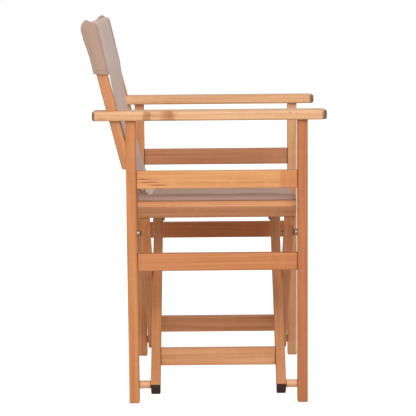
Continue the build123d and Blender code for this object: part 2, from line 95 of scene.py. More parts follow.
class GrainWay(Enum):
    """Directions in which the fibres of a timber run."""

    ALONG = (1.0, 0.0, 0.0)
    UPRIGHT = (0.0, 0.0, 1.0)
    POST = (-math.sin(math.radians(14.2)), 0.0, math.cos(math.radians(14.2)))
    RISING_LEFT = (0.0, math.sin(BOARD_LEAN), math.cos(BOARD_LEAN))
    RISING_RIGHT = (0.0, -math.sin(BOARD_LEAN), math.cos(BOARD_LEAN))


# ---------------------------------------------------------------------------------------------
# Shader nodes
# ---------------------------------------------------------------------------------------------


@dataclass
class NodeDesk:
    """Adds and joins the nodes of one node tree.

    Args:
        tree: The node tree that the nodes are added to.
    """

    tree: bpy.types.NodeTree

    def add(self, kind: str, links: dict | None = None, **settings) -> bpy.types.Node:
        """Add a node.

        Args:
            kind: The node's type name, without the word ShaderNode.
            links: Values or output sockets for its inputs, by socket name or number.
            **settings: The node's own properties.

        Returns:
            The new node.
        """
        node = self.tree.nodes.new("ShaderNode" + kind)
        for name, value in settings.items():
            setattr(node, name, value)
        for key, value in (links or {}).items():
            socket = node.inputs[key]
            if isinstance(value, bpy.types.NodeSocket):
                self.tree.links.new(value, socket)
            elif isinstance(value, tuple) and socket.type == "RGBA" and len(value) == 3:
                socket.default_value = (*value, 1.0)
            else:
                socket.default_value = value
        return node

    def math(self, operation: str, *values) -> bpy.types.NodeSocket:
        """Work out one number from others, which are numbers or sockets."""
        return self.add("Math", dict(enumerate(values)), operation=operation).outputs[0]

    def times(self, first, second) -> bpy.types.NodeSocket:
        """The product of two numbers or sockets."""
        return self.math("MULTIPLY", first, second)

    def plus(self, first, second) -> bpy.types.NodeSocket:
        """The sum of two numbers or sockets."""
        return self.math("ADD", first, second)

    def blend(self, share, first, second) -> bpy.types.NodeSocket:
        """Mix two colours or sockets, by the share of the second that shows."""
        links = {0: share, 6: first, 7: second}
        return self.add("Mix", links, data_type="RGBA", clamp_factor=True).outputs[2]

    def ramp(self, value, low, high, to_low: float = 0.0, to_high: float = 1.0) -> bpy.types.NodeSocket:
        """Map a value smoothly, so that low gives to_low and high gives to_high."""
        links = {0: value, 1: low, 2: high, 3: to_low, 4: to_high}
        return self.add("MapRange", links, interpolation_type="SMOOTHSTEP").outputs[0]

    def clouds(self, where, scale: float, detail: float = 2.0, rough: float = 0.5) -> bpy.types.NodeSocket:
        """Soft noise from 0 to 1, with a scale per metre, octaves of detail and their roughness."""
        links = {"Vector": where, "Scale": scale, "Detail": detail, "Roughness": rough}
        return self.add("TexNoise", links).outputs[0]

    def vector(self, operation: str, first, second) -> bpy.types.NodeSocket:
        """Work out one vector from two, which are vectors or sockets."""
        return self.add("VectorMath", {0: first, 1: second}, operation=operation).outputs[0]

    def stretched(self, where, scale: Sequence[float]) -> bpy.types.NodeSocket:
        """Scale a position on each axis."""
        return self.vector("MULTIPLY", where, tuple(scale))


def new_group(name: str, inputs: dict, outputs: dict) -> tuple[bpy.types.NodeTree, NodeDesk, dict, dict]:
    """Start a shader node group.

    Args:
        name: The group's name.
        inputs: Socket name to a socket type and a default value.
        outputs: Socket name to a socket type.

    Returns:
        The group, its desk, its input sockets and its output sockets, by name.
    """
    tree = bpy.data.node_groups.new(name, "ShaderNodeTree")
    for label, (kind, value) in inputs.items():
        socket = tree.interface.new_socket(label, in_out="INPUT", socket_type="NodeSocket" + kind)
        if value is not None:
            socket.default_value = value
    for label, kind in outputs.items():
        tree.interface.new_socket(label, in_out="OUTPUT", socket_type="NodeSocket" + kind)
    desk = NodeDesk(tree)
    inlet = tree.nodes.new("NodeGroupInput")
    outlet = tree.nodes.new("NodeGroupOutput")
    return tree, desk, {s.name: s for s in inlet.outputs}, {s.name: s for s in outlet.inputs}


class Effects:
    """The shader node groups that more than one finish uses, each built once."""

    def __init__(self) -> None:
        """Build every group."""
        self.grain = self.build_grain()
        self.knot = self.build_knot()
        self.weave = self.build_weave()
        self.dust = self.build_dust()

    @staticmethod
    def build_grain() -> bpy.types.NodeTree:
        """Timber whose fibres run along X: growth rings, latewood lines, pores, blotches and end grain.

        Returns:
            The node group.
        """
        tree, desk, given, result = new_group(
            "TimberGrain",
            {"Vector": ("Vector", None), "Facing": ("Vector", None), "Pale": ("Color", (0.8, 0.5, 0.3, 1)),
             "Deep": ("Color", (0.6, 0.3, 0.15, 1)), "Line": ("Color", (0.4, 0.15, 0.06, 1)),
             "Cut end": ("Color", (0.2, 0.1, 0.05, 1)), "Ring scale": ("Float", 60.0),
             "Line strength": ("Float", 0.4), "Blotch": ("Float", 0.3)},
            {"Color": "Color", "Height": "Float", "Roughness": "Float"})
        where = given["Vector"]
        drawn_out = desk.stretched(where, (0.09, 1.0, 1.0))
        drift = desk.clouds(desk.stretched(where, (1.1, 6.0, 6.0)), 1.6, 1.0)
        bend = desk.add("CombineXYZ", {1: desk.times(drift, 0.02), 2: desk.times(drift, 0.03)}).outputs[0]
        shifted = desk.vector("ADD", drawn_out, bend)
        rings = desk.add("TexWave", {"Vector": shifted, "Scale": given["Ring scale"], "Distortion": 2.2,
                                     "Detail": 2.0, "Detail Scale": 1.2, "Detail Roughness": 0.55},
                         wave_type="RINGS", rings_direction="X", wave_profile="SAW").outputs[1]
        late = desk.ramp(rings, 0.66, 0.97)
        fibres = desk.clouds(desk.stretched(where, (9.0, 620.0, 620.0)), 1.0, 3.0, 0.6)
        streaks = desk.clouds(desk.stretched(where, (3.2, 120.0, 120.0)), 1.0, 3.0, 0.6)
        pores = desk.add("TexVoronoi", {"Vector": desk.stretched(where, (110.0, 1150.0, 1150.0)),
                                        "Scale": 1.0, "Randomness": 1.0}).outputs[0]
        pore = desk.ramp(pores, 0.28, 0.12)
        patches = desk.clouds(desk.stretched(where, (4.0, 22.0, 22.0)), 1.0, 2.0)
        figure = desk.clouds(desk.stretched(where, (75.0, 22.0, 22.0)), 1.0, 1.0)

        tone = desk.plus(desk.times(rings, 0.22), desk.times(streaks, 0.95))
        body = desk.blend(desk.ramp(tone, 0.30, 0.88), given["Pale"], given["Deep"])
        line = desk.times(desk.times(late, desk.ramp(patches, 0.38, 0.66)),
                         desk.ramp(streaks, 0.36, 0.66))
        lined = desk.blend(desk.times(line, given["Line strength"]), body, given["Line"])
        fine = desk.blend(desk.times(desk.ramp(fibres, 0.45, 0.72), 0.16), lined, given["Line"])
        pored = desk.blend(desk.times(pore, 0.22), fine, given["Line"])
        blotch = desk.times(desk.ramp(patches, 0.48, 0.76), given["Blotch"])
        worn = desk.blend(blotch, pored, given["Deep"])
        curl = desk.blend(desk.times(desk.ramp(figure, 0.48, 0.72), 0.24), worn, given["Pale"])
        along = desk.math("ABSOLUTE", desk.add("SeparateXYZ", {0: given["Facing"]}).outputs[0])
        ragged = desk.plus(along, desk.times(desk.math("SUBTRACT", patches, 0.5), 0.25))
        end = desk.ramp(ragged, 0.16, 0.5)
        final = desk.blend(desk.times(end, 0.86), curl, given["Cut end"])
        tree.links.new(final, result["Color"])
        height = desk.math("SUBTRACT", desk.times(fibres, 0.6), desk.times(pore, 0.8))
        tree.links.new(desk.plus(height, desk.times(rings, 0.2)), result["Height"])
        tree.links.new(desk.ramp(desk.plus(fibres, end), 0.2, 1.6, 0.42, 0.66), result["Roughness"])
        return tree

    @staticmethod
    def build_knot() -> bpy.types.NodeTree:
        """A knot or a patch of dark heartwood in a timber, drawn out along its length.

        Returns:
            The node group.
        """
        tree, desk, given, result = new_group(
            "Knot",
            {"Vector": ("Vector", None), "Color": ("Color", (0.8, 0.5, 0.3, 1)),
             "Knot color": ("Color", (0.3, 0.12, 0.05, 1)), "Place": ("Vector", None),
             "Size": ("Vector", None), "Strength": ("Float", 0.8), "Ragged": ("Float", 0.5)},
            {"Color": "Color"})
        away = desk.vector("SUBTRACT", given["Vector"], given["Place"])
        shares = desk.vector("DIVIDE", away, given["Size"])
        far = desk.add("VectorMath", {0: shares}, operation="LENGTH").outputs[1]
        rag = desk.clouds(desk.stretched(given["Vector"], (60.0, 110.0, 110.0)), 1.0, 4.0, 0.65)
        edge = desk.plus(far, desk.times(desk.math("SUBTRACT", rag, 0.5), given["Ragged"]))
        mask = desk.times(desk.ramp(edge, 1.0, 0.35), given["Strength"])
        tree.links.new(desk.blend(mask, given["Color"], given["Knot color"]), result["Color"])
        return tree

    @staticmethod
    def build_weave() -> bpy.types.NodeTree:
        """Plain weave with slubs, on a position in metres across and along the cloth.

        Returns:
            The node group.
        """
        tree, desk, given, result = new_group(
            "PlainWeave",
            {"Vector": ("Vector", None), "Warp": ("Color", (0.6, 0.5, 0.4, 1)),
             "Weft": ("Color", (0.5, 0.4, 0.3, 1)), "Thread": ("Float", 0.0011)},
            {"Color": "Color", "Height": "Float", "Roughness": "Float"})
        split = desk.add("SeparateXYZ", {0: given["Vector"]})
        turn = desk.math("DIVIDE", math.pi, given["Thread"])
        over = desk.math("SINE", desk.times(split.outputs[0], turn))
        under = desk.math("SINE", desk.times(split.outputs[1], turn))
        cross = desk.times(over, under)
        warp_up = desk.ramp(cross, -0.35, 0.35)
        slub_along = desk.clouds(desk.stretched(given["Vector"], (420.0, 5.0, 1.0)), 1.0, 3.0, 0.6)
        slub_across = desk.clouds(desk.stretched(given["Vector"], (7.0, 520.0, 1.0)), 1.0, 2.0, 0.6)
        faded = desk.clouds(given["Vector"], 9.0, 2.0)
        base = desk.blend(warp_up, given["Weft"], given["Warp"])
        streaked = desk.blend(desk.times(desk.ramp(slub_along, 0.44, 0.7), 0.42), base, given["Weft"])
        crossed = desk.blend(desk.times(desk.ramp(slub_across, 0.46, 0.72), 0.3),
                             streaked, given["Warp"])
        worn = desk.blend(desk.times(desk.ramp(faded, 0.45, 0.7), 0.25), crossed, given["Warp"])
        tree.links.new(worn, result["Color"])
        thread = desk.math("ABSOLUTE", cross)
        raised = desk.plus(desk.times(thread, 0.7), desk.times(slub_along, 0.6))
        tree.links.new(raised, result["Height"])
        tree.links.new(desk.ramp(slub_across, 0.2, 0.8, 0.84, 0.95), result["Roughness"])
        return tree

    @staticmethod
    def build_dust() -> bpy.types.NodeTree:
        """Dull patches and fine specks that settle on metal and rubber.

        Returns:
            The node group.
        """
        tree, desk, given, result = new_group(
            "Dust",
            {"Vector": ("Vector", None), "Clean": ("Color", (0.5, 0.5, 0.5, 1)),
             "Dull": ("Color", (0.3, 0.3, 0.3, 1)), "Amount": ("Float", 0.4)},
            {"Color": "Color", "Height": "Float", "Mask": "Float"})
        broad = desk.clouds(given["Vector"], 90.0, 3.0, 0.6)
        specks = desk.clouds(given["Vector"], 1400.0, 2.0, 0.6)
        mask = desk.ramp(desk.plus(desk.times(broad, 0.7),
                                   desk.times(specks, 0.4)), 0.45, 0.75)
        amount = desk.times(mask, given["Amount"])
        tree.links.new(desk.blend(amount, given["Clean"], given["Dull"]), result["Color"])
        tree.links.new(specks, result["Height"])
        tree.links.new(amount, result["Mask"])
        return tree


def shaded(colour: Colour, factors: Sequence[float]) -> tuple[float, float, float, float]:
    """Multiply a colour channel by channel, and give it full opacity."""
    return (*(min(0.97, c * f) for c, f in zip(colour, factors)), 1.0)


@dataclass(frozen=True)
class Finish:
    """What every finish shares.

    Args:
        name: The material's name.
        colour: Its mean linear colour.
    """

    name: str
    colour: Colour

    def start(self) -> tuple[bpy.types.Material, NodeDesk, bpy.types.Node]:
        """Make the material with its shader.

        Returns:
            The material, the desk of its nodes and its Principled BSDF.
        """
        material = bpy.data.materials.new(self.name)
        material.use_nodes = True
        material.diffuse_color = (*self.colour, 1.0)
        return material, NodeDesk(material.node_tree), material.node_tree.nodes["Principled BSDF"]

    @staticmethod
    def bump(desk: NodeDesk, shader: bpy.types.Node, height, strength: float, depth: float) -> None:
        """Raise the surface by a height socket, to a depth in metres."""
        node = desk.add("Bump", {"Height": height, "Strength": strength, "Distance": depth})
        desk.tree.links.new(node.outputs[0], shader.inputs["Normal"])


@dataclass(frozen=True)
class Knot:
    """A dark knot or heartwood patch.

    Args:
        place: Its middle in the chair's frame.
        size: Half its length, width and depth, along the chair's axes.
        strength: How dark it is, from 0 to 1.
        colour: Its linear colour.
        ragged: How uneven its edge is.
    """

    place: tuple[float, float, float]
    size: tuple[float, float, float]
    strength: float = 0.7
    colour: Colour = (0.30, 0.115, 0.045)
    ragged: float = 0.5


@dataclass(frozen=True)
class Timber(Finish):
    """Oiled timber of one board.

    Args:
        way: The direction of its fibres.
        seed: Which part of the tree it is cut from.
        ring_scale: How close its growth rings are.
        line: How strong its dark latewood lines are.
        blotch: How blotchy it is.
        knots: Its knots.
    """

    way: GrainWay = GrainWay.ALONG
    seed: float = 0.0
    ring_scale: float = 26.0
    line: float = 0.35
    blotch: float = 0.35
    knots: tuple[Knot, ...] = ()

    def build(self, effects: Effects) -> bpy.types.Material:
        """Make the material.

        Args:
            effects: The shared node groups.

        Returns:
            The material.
        """
        material, desk, shader = self.start()
        turn = Vector(self.way.value).rotation_difference(Vector((1.0, 0.0, 0.0))).to_euler()
        places = desk.add("TexCoord")
        offset = (self.seed * 0.73, 0.05 + 0.013 * (self.seed % 5), 0.04 + 0.017 * (self.seed % 3))
        cut = desk.add("Mapping", {"Vector": places.outputs["Object"], "Location": offset,
                                   "Rotation": tuple(turn)}, vector_type="POINT")
        facing = desk.add("Mapping", {"Vector": places.outputs["Normal"], "Rotation": tuple(turn)},
                          vector_type="VECTOR")
        inputs = {"Vector": cut.outputs[0], "Facing": facing.outputs[0],
                  "Pale": shaded(self.colour, (1.10, 1.17, 1.25)),
                  "Deep": shaded(self.colour, (0.88, 0.79, 0.66)),
                  "Line": shaded(self.colour, (0.60, 0.42, 0.30)),
                  "Cut end": shaded(self.colour, (0.24, 0.20, 0.21)),
                  "Ring scale": self.ring_scale, "Line strength": self.line, "Blotch": self.blotch}
        grain = desk.add("Group", inputs, node_tree=effects.grain)
        colour = grain.outputs["Color"]
        for knot in self.knots:
            mark = {"Vector": places.outputs["Object"], "Color": colour, "Knot color": knot.colour,
                    "Place": knot.place, "Size": knot.size, "Strength": knot.strength, "Ragged": knot.ragged}
            colour = desk.add("Group", mark, node_tree=effects.knot).outputs["Color"]
        desk.tree.links.new(colour, shader.inputs["Base Color"])
        desk.tree.links.new(grain.outputs["Roughness"], shader.inputs["Roughness"])
        shader.inputs["Specular IOR Level"].default_value = 0.42
        shader.inputs["Coat Weight"].default_value = 0.06
        shader.inputs["Coat Roughness"].default_value = 0.38
        self.bump(desk, shader, grain.outputs["Height"], 0.35, 0.0005)
        return material


@dataclass(frozen=True)
class Canvas(Finish):
    """Plain-woven cotton canvas, read from the cloth's own flat coordinates.

    Args:
        weft: Linear colour of the cross threads.
        thread: Width of one thread.
    """

    weft: Colour = (0.45, 0.34, 0.30)
    thread: float = 0.0010

    def build(self, effects: Effects) -> bpy.types.Material:
        """Make the material.

        Args:
            effects: The shared node groups.

        Returns:
            The material.
        """
        material, desk, shader = self.start()
        flat = desk.add("UVMap", uv_map="flat_cut")
        inputs = {"Vector": flat.outputs[0], "Warp": self.colour, "Weft": self.weft, "Thread": self.thread}
        weave = desk.add("Group", inputs, node_tree=effects.weave)
        desk.tree.links.new(weave.outputs["Color"], shader.inputs["Base Color"])
        desk.tree.links.new(weave.outputs["Roughness"], shader.inputs["Roughness"])
        shader.inputs["Specular IOR Level"].default_value = 0.2
        shader.inputs["Sheen Weight"].default_value = 0.12
        shader.inputs["Sheen Roughness"].default_value = 0.5
        self.bump(desk, shader, weave.outputs["Height"], 0.5, 0.0004)
        return material


@dataclass(frozen=True)
class Settled(Finish):
    """Zinc-plated steel, rubber or thread, with dull patches.

    Args:
        dull: Linear colour of the dull patches.
        amount: How much of them shows.
        metal: 1 for metal and 0 for the rest.
        rough: Roughness where it is clean.
        grit: Depth of its fine bumps in metres.
    """

    dull: Colour = (0.3, 0.3, 0.3)
    amount: float = 0.5
    metal: float = 0.0
    rough: float = 0.4
    grit: float = 0.0002

    def build(self, effects: Effects) -> bpy.types.Material:
        """Make the material.

        Args:
            effects: The shared node groups.

        Returns:
            The material.
        """
        material, desk, shader = self.start()
        inputs = {"Vector": desk.add("TexCoord").outputs["Object"], "Clean": self.colour,
                  "Dull": self.dull, "Amount": self.amount}
        dust = desk.add("Group", inputs, node_tree=effects.dust)
        desk.tree.links.new(dust.outputs["Color"], shader.inputs["Base Color"])
        rough = desk.ramp(dust.outputs["Mask"], 0.0, 1.0, self.rough, min(1.0, self.rough + 0.3))
        desk.tree.links.new(rough, shader.inputs["Roughness"])
        shader.inputs["Metallic"].default_value = self.metal
        self.bump(desk, shader, dust.outputs["Height"], 0.3, self.grit)
        return material


# ---------------------------------------------------------------------------------------------
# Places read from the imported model
# ---------------------------------------------------------------------------------------------


@dataclass(frozen=True)
class Layout:
    """Places that the canvas is cut to.

    Args:
        mid_x: X midway between the front and rear legs.
        side_y: Y of the middle of the left side frame.
        post_back_x: X of a back post's rear face at its top.
        post_top: Height of the posts.
        post_depth: A post's depth along X.
        post_half_width: Half of a post's width.
        hem_y: Y of the middle of the left seat hem.
        hem_z: Its height.
        sleeve_bottom: Height of the sleeves' lower hem.
    """

    mid_x: float
    side_y: float
    post_back_x: float
    post_top: float
    post_depth: float
    post_half_width: float
    hem_y: float
    hem_z: float
    sleeve_bottom: float

    @classmethod
    def read(cls) -> "Layout":
        """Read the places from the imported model's nodes."""
        front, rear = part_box("left_front_leg"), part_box("left_rear_leg")
        post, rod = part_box("left_back_post"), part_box("left_hem_rod")
        sleeve_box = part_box("left_back_sleeve")
        return cls(mid_x=(front[0][0] + rear[1][0]) / 2, side_y=(rear[0][1] + rear[1][1]) / 2,
                   post_back_x=post[0][0], post_top=post[1][2], post_depth=POST_DEPTH,
                   post_half_width=(rear[1][1] - rear[0][1]) / 2, hem_y=(rod[0][1] + rod[1][1]) / 2,
                   hem_z=(rod[0][2] + rod[1][2]) / 2, sleeve_bottom=sleeve_box[0][2])

    def post_rear(self, z: float) -> float:
        """X of the posts' rear face at height z."""
        return self.post_back_x + POST_SLOPE * (self.post_top - z)

    def post_middle(self, z: float) -> float:
        """X of the posts' middle at height z."""
        return self.post_rear(z) + self.post_depth / 2

    def panel_front(self, z: float) -> float:
        """X of the back canvas at height z, where it is held between the sleeves."""
        return self.post_rear(z) + self.post_depth + 3.2 * MM


# ---------------------------------------------------------------------------------------------
# Canvas work
# ---------------------------------------------------------------------------------------------


class SmoothLine:
    """A smooth line through a few points, read by distance along it."""

    def __init__(self, points: Sequence[Point], steps: int = 24) -> None:
        """Draw the line.

        Args:
            points: The points that it passes through.
            steps: Short runs between two of them.
        """
        places = [Vector(p) for p in points]
        ends = [places[0] * 2 - places[1], *places, places[-1] * 2 - places[-2]]
        self.line = []
        for a, b, c, d in zip(ends, ends[1:], ends[2:], ends[3:]):
            for step in range(steps):
                t = step / steps
                self.line.append((b * 2 + (c - a) * t + (a * 2 - b * 5 + c * 4 - d) * t * t
                                  + (b * 3 - a - c * 3 + d) * t ** 3) * 0.5)
        self.line.append(places[-1])
        self.reach = [0.0]
        for a, b in zip(self.line, self.line[1:]):
            self.reach.append(self.reach[-1] + (b - a).length)
        self.length = self.reach[-1]

    def at(self, distance: float) -> Vector:
        """The point that far along the line.

        Args:
            distance: From the first point, in metres.

        Returns:
            The point.
        """
        distance = min(max(distance, 0.0), self.length)
        low, high = 0, len(self.reach) - 1
        while high - low > 1:
            middle = (low + high) // 2
            low, high = (middle, high) if self.reach[middle] <= distance else (low, middle)
        run = max(self.reach[high] - self.reach[low], 1e-9)
        return self.line[low].lerp(self.line[high], (distance - self.reach[low]) / run)

    def reach_at_height(self, z: float) -> float:
        """Distance along a falling line at which it passes height z."""
        for point, distance in zip(self.line, self.reach):
            if point.y <= z:
                return distance
        return self.length


def mm(*lengths: float) -> tuple[float, ...]:
    """Lengths given in millimetres, in metres."""
    return tuple(length * MM for length in lengths)


def ease(value: float, low: float, high: float) -> float:
    """A smooth step from 0 at low to 1 at high."""
    t = min(max((value - low) / (high - low), 0.0), 1.0)
    return t * t * (3 - 2 * t)


def ripple(across: float, along: float, seed: float) -> float:
    """Smooth noise from -1 to 1 for soft folds, on scaled coordinates of the cloth."""
    return noise.noise(Vector((across, along, seed)))


def spread(*stops: tuple[float, float]) -> list[float]:
    """Even runs of values between stops.

    Args:
        *stops: Pairs of a value and the spacing of the run that ends there.

    Returns:
        The values, from the first stop to the last.
    """
    values = [stops[0][0]]
    for (start, _), (end, spacing) in zip(stops, stops[1:]):
        count = max(1, round(abs(end - start) / spacing))
        values += [start + (end - start) * i / count for i in range(1, count + 1)]
    return values


def finish_mesh(bm: bmesh.types.BMesh, name: str) -> bpy.types.Object:
    """Turn a bmesh into an object in the scene, shaded smooth.

    Args:
        bm: The finished bmesh, which is freed.
        name: The object's name.

    Returns:
        The object.
    """
    mesh = bpy.data.meshes.new(name)
    bm.to_mesh(mesh)
    bm.free()
    mesh.shade_smooth()
    piece = bpy.data.objects.new(name, mesh)
    bpy.context.scene.collection.objects.link(piece)
    return piece


def sew_sheet(name: str, columns: list[float], rows: list[float], surface: Surface,
              keep: Callable[[float, float], bool] | None = None, thickness: float = CLOTH,
              outline: Callable[[float, float], Point] | None = None) -> bpy.types.Object:
    """Cut a grid of cloth and lay it on a surface.

    Args:
        name: The piece's name.
        columns: Flat distances across the cloth.
        rows: Flat distances along it.
        surface: The place of each flat point.
        keep: Which parts of the grid are cloth, by the middle of each face.
        thickness: The cloth's thickness.
        outline: Where each point of the grid lies in the flat cut, where the cut isn't a rectangle.

    Returns:
        The piece, with its flat cut kept as a UV map in metres.
    """
    across, along = len(columns) - 1, len(rows) - 1
    bm = bmesh.new()
    bmesh.ops.create_grid(bm, x_segments=across, y_segments=along, size=0.5)
    cut = {v: (columns[round((v.co.x + 0.5) * across)], rows[round((v.co.y + 0.5) * along)])
           for v in bm.verts}
    if outline is not None:
        cut = {v: outline(*place) for v, place in cut.items()}
    layer = bm.loops.layers.uv.new("flat_cut")
    for face in bm.faces:
        for loop in face.loops:
            loop[layer].uv = cut[loop.vert]
    if keep is not None:
        away = [f for f in bm.faces
                if not keep(sum(cut[v][0] for v in f.verts) / 4, sum(cut[v][1] for v in f.verts) / 4)]
        bmesh.ops.delete(bm, geom=away, context="FACES")
    for vert in bm.verts:
        vert.co = surface(*cut[vert])
    piece = finish_mesh(bm, name)
    wall = piece.modifiers.new("cloth", "SOLIDIFY")
    wall.thickness = thickness
    wall.offset = 0.0
    return piece


def stitch_rows(name: str, rows: Iterable[Sequence[Point]], surface: Surface, lift: float
                ) -> bpy.types.Object:
    """Sew rows of thread on a surface, each stitch a small rounded bead of thread.

    Args:
        name: The piece's name.
        rows: Each row's corner points, in the cloth's flat coordinates.
        surface: The place of each flat point.
        lift: How far the stitches stand off the surface's middle, to the side its normal points to.

    Returns:
        The piece.
    """
    whole, nudge = bmesh.new(), 0.5 * MM
    for row in rows:
        for start, end in zip(row, row[1:]):
            run = Vector(end) - Vector(start)
            count = max(1, int(run.length / STITCH))
            places = [Vector(start) + run * ((index + 0.5) / count) for index in range(count)]
            for first in range(0, count, STITCH_BATCH):
                batch = bmesh.new()
                for here in places[first:first + STITCH_BATCH]:
                    middle = surface(*here)
                    ahead = surface(*(here + run.normalized() * nudge)) - middle
                    across = surface(*(here + Vector((-run.y, run.x)).normalized() * nudge)) - middle
                    way, up = ahead.normalized(), ahead.cross(across).normalized()
                    basis = Matrix((way, up.cross(way), up)).transposed().to_4x4()
                    shape = Matrix.Diagonal((STITCH * 0.36, 0.42 * MM, 0.3 * MM, 1.0))
                    bmesh.ops.create_uvsphere(batch, u_segments=6, v_segments=4, radius=1.0,
                                              matrix=Matrix.Translation(middle + up * lift) @ basis @ shape)
                sewn = bpy.data.meshes.new("batch")
                batch.to_mesh(sewn)
                batch.free()
                whole.from_mesh(sewn)
                bpy.data.meshes.remove(sewn)
    return finish_mesh(whole, name)


@dataclass
class BackCanvas:
    """The canvas between the back posts, narrowed below the sleeves and curved forward into the seat.

    Args:
        place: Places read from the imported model.
        half_width: Half the width between the sleeves.
        lower_half_width: Half the width at the seat.
        taper: Length over which the width narrows below the sleeves.
        top: Height of the upper edge.
        hem: Width of the side hems.
        sag: How far the seat sags in the middle.
        tail_z: Height of the lower edge, under the seat.
    """

    place: Layout
    half_width: float = 203.5 * MM
    lower_half_width: float = 158 * MM
    taper: float = 105 * MM
    top: float = 834.8 * MM
    hem: float = 11 * MM
    sag: float = 15 * MM
    tail_z: float = 437 * MM
    profile: SmoothLine = field(init=False)

    def __post_init__(self) -> None:
        """Draw the profile from the upper edge down to the tail under the seat."""
        mid, held = self.place.mid_x, self.place.panel_front
        bottom = self.place.sleeve_bottom
        lower = [(-224.5, 686), (-216.5, 644), (-210.5, 613), (-203.5, 586), (-196.5, 561), (-189.5, 538),
                 (-183.5, 516), (-178.5, 493), (-173.5, 468), (-165.5, 450), (-152, 440), (-135, 437),
                 (-117, 437)]
        points = [(mid - 267 * MM, self.top), (mid - 261.5 * MM, self.top - 1.3 * MM),
                  (mid - 257.4 * MM, self.top - 6 * MM), (held(818 * MM), 818 * MM),
                  (held(790 * MM), 790 * MM), (held(750 * MM), 750 * MM), (held(bottom), bottom)]
        self.profile = SmoothLine(points + [(mid + x * MM, z * MM) for x, z in lower])
        self.step = self.profile.reach_at_height(bottom)

    def surface(self, across: float, along: float) -> Vector:
        """The place of a flat point of the back canvas.

        Args:
            across: Distance from its middle line, to the sitter's left.
            along: Distance down from the upper edge.

        Returns:
            The point.
        """
        here, ahead = self.profile.at(along), self.profile.at(along + MM)
        behind = self.profile.at(along - MM)
        tangent = (ahead - behind).normalized()
        normal = Vector((-tangent.y, tangent.x))
        share = across / self.width_at(along)
        free = ease(along, self.step * 0.6, self.step * 1.6)
        slack = (0.35 + 0.65 * free) * (1 - share * share)
        fold = (1.5 * ripple(across * 16, along * 2.4, 3.1)
                + 0.7 * ripple(across * 42, along * 4.5, 8.4)) * slack
        draped = -2.2 * (1 - share * share) * (1 - free)
        curl = 1.4 * ripple(along * 21, 0.3, 5.0) * ease(abs(share), 0.88, 1.0) * free
        point = here + normal * (fold + draped + curl) * MM
        flat_part = ease(point.y, 520 * MM, 446 * MM)
        rise = self.sag * (across / self.place.hem_y) ** 2 * flat_part
        crown = 2.6 * MM * (1 - share * share) * (1 - ease(along, 0.0, 0.05))
        return Vector((point.x, across, point.y + rise + crown))

    def width_at(self, along: float) -> float:
        """Half the width of the cloth at a distance down from the upper edge."""
        narrowing = ease(along, self.step - 6 * MM, self.step + self.taper)
        return self.half_width + (self.lower_half_width - self.half_width) * narrowing

    def area(self) -> float:
        """Area of the flat cut."""
        count = 200
        slice_length = self.profile.length / count
        return sum(2 * self.width_at((index + 0.5) * slice_length) * slice_length for index in range(count))

    def build(self) -> list[bpy.types.Object]:
        """Make the back canvas, its hems and its stitching.

        Returns:
            The sheet, then its hems and stitches.
        """
        end, wide = self.profile.length, self.half_width

        def tapered(across: float, along: float) -> Point:
            """Narrows a rectangle to the cut's width."""
            return (across * self.width_at(along) / wide, along)

        sheet = sew_sheet("back_canvas", spread((-wide, 0), (wide, GRID)),
                          spread((0.0, 0), (end, GRID)), self.surface, outline=tapered)
        hems, rows_of_thread = [], []
        seam, side_seam, inset = self.hem - 1.8 * MM, 3.2 * MM, 4 * MM
        places = spread((inset, 0), (self.step, 20 * MM), (end - inset, 20 * MM))
        for side, sign in (("right", -1), ("left", 1)):
            def beside_edge(offset: float, along: float, sign: int = sign) -> Point:
                """A place at a distance from the cut's side edge."""
                return (sign * self.width_at(along) + offset, along)

            low, high = sorted((0.0, -sign * self.hem))
            hems.append(sew_sheet(f"back_{side}_hem", spread((low, 0), (high, 2.2 * MM)),
                                  spread((self.step - 9 * MM, 0), (end, 4 * MM)),
                                  self.lifted(-0.95 * MM), thickness=HEM_CLOTH, outline=beside_edge))
            rows_of_thread.append([beside_edge(-sign * seam, along)
                                   for along in places if along > self.step])
            rows_of_thread.append([beside_edge(-sign * side_seam, along)
                                   for along in places if along < self.step])
        rows_of_thread.append([(-wide + side_seam, inset), (wide - side_seam, inset)])
        front = stitch_rows("back_stitches_front", rows_of_thread, self.surface, TOP_LIFT)
        rear = stitch_rows("back_stitches_rear", rows_of_thread, self.surface, UNDER_LIFT)
        return [sheet, *hems, front, rear]

    def lifted(self, lift: float) -> Surface:
        """The same surface, moved off the cloth.

        Args:
            lift: How far, towards the front where it is above 0.

        Returns:
            The moved surface.
        """
        def moved(across: float, along: float) -> Vector:
            """A point off the cloth."""
            middle = self.surface(across, along)
            down = self.surface(across, along + 0.5 * MM) - middle
            side = self.surface(across + 0.5 * MM, along) - middle
            if down.length < 1e-8:
                down = middle - self.surface(across, along - 0.5 * MM)
            return middle + side.cross(-down).normalized() * -lift
        return moved


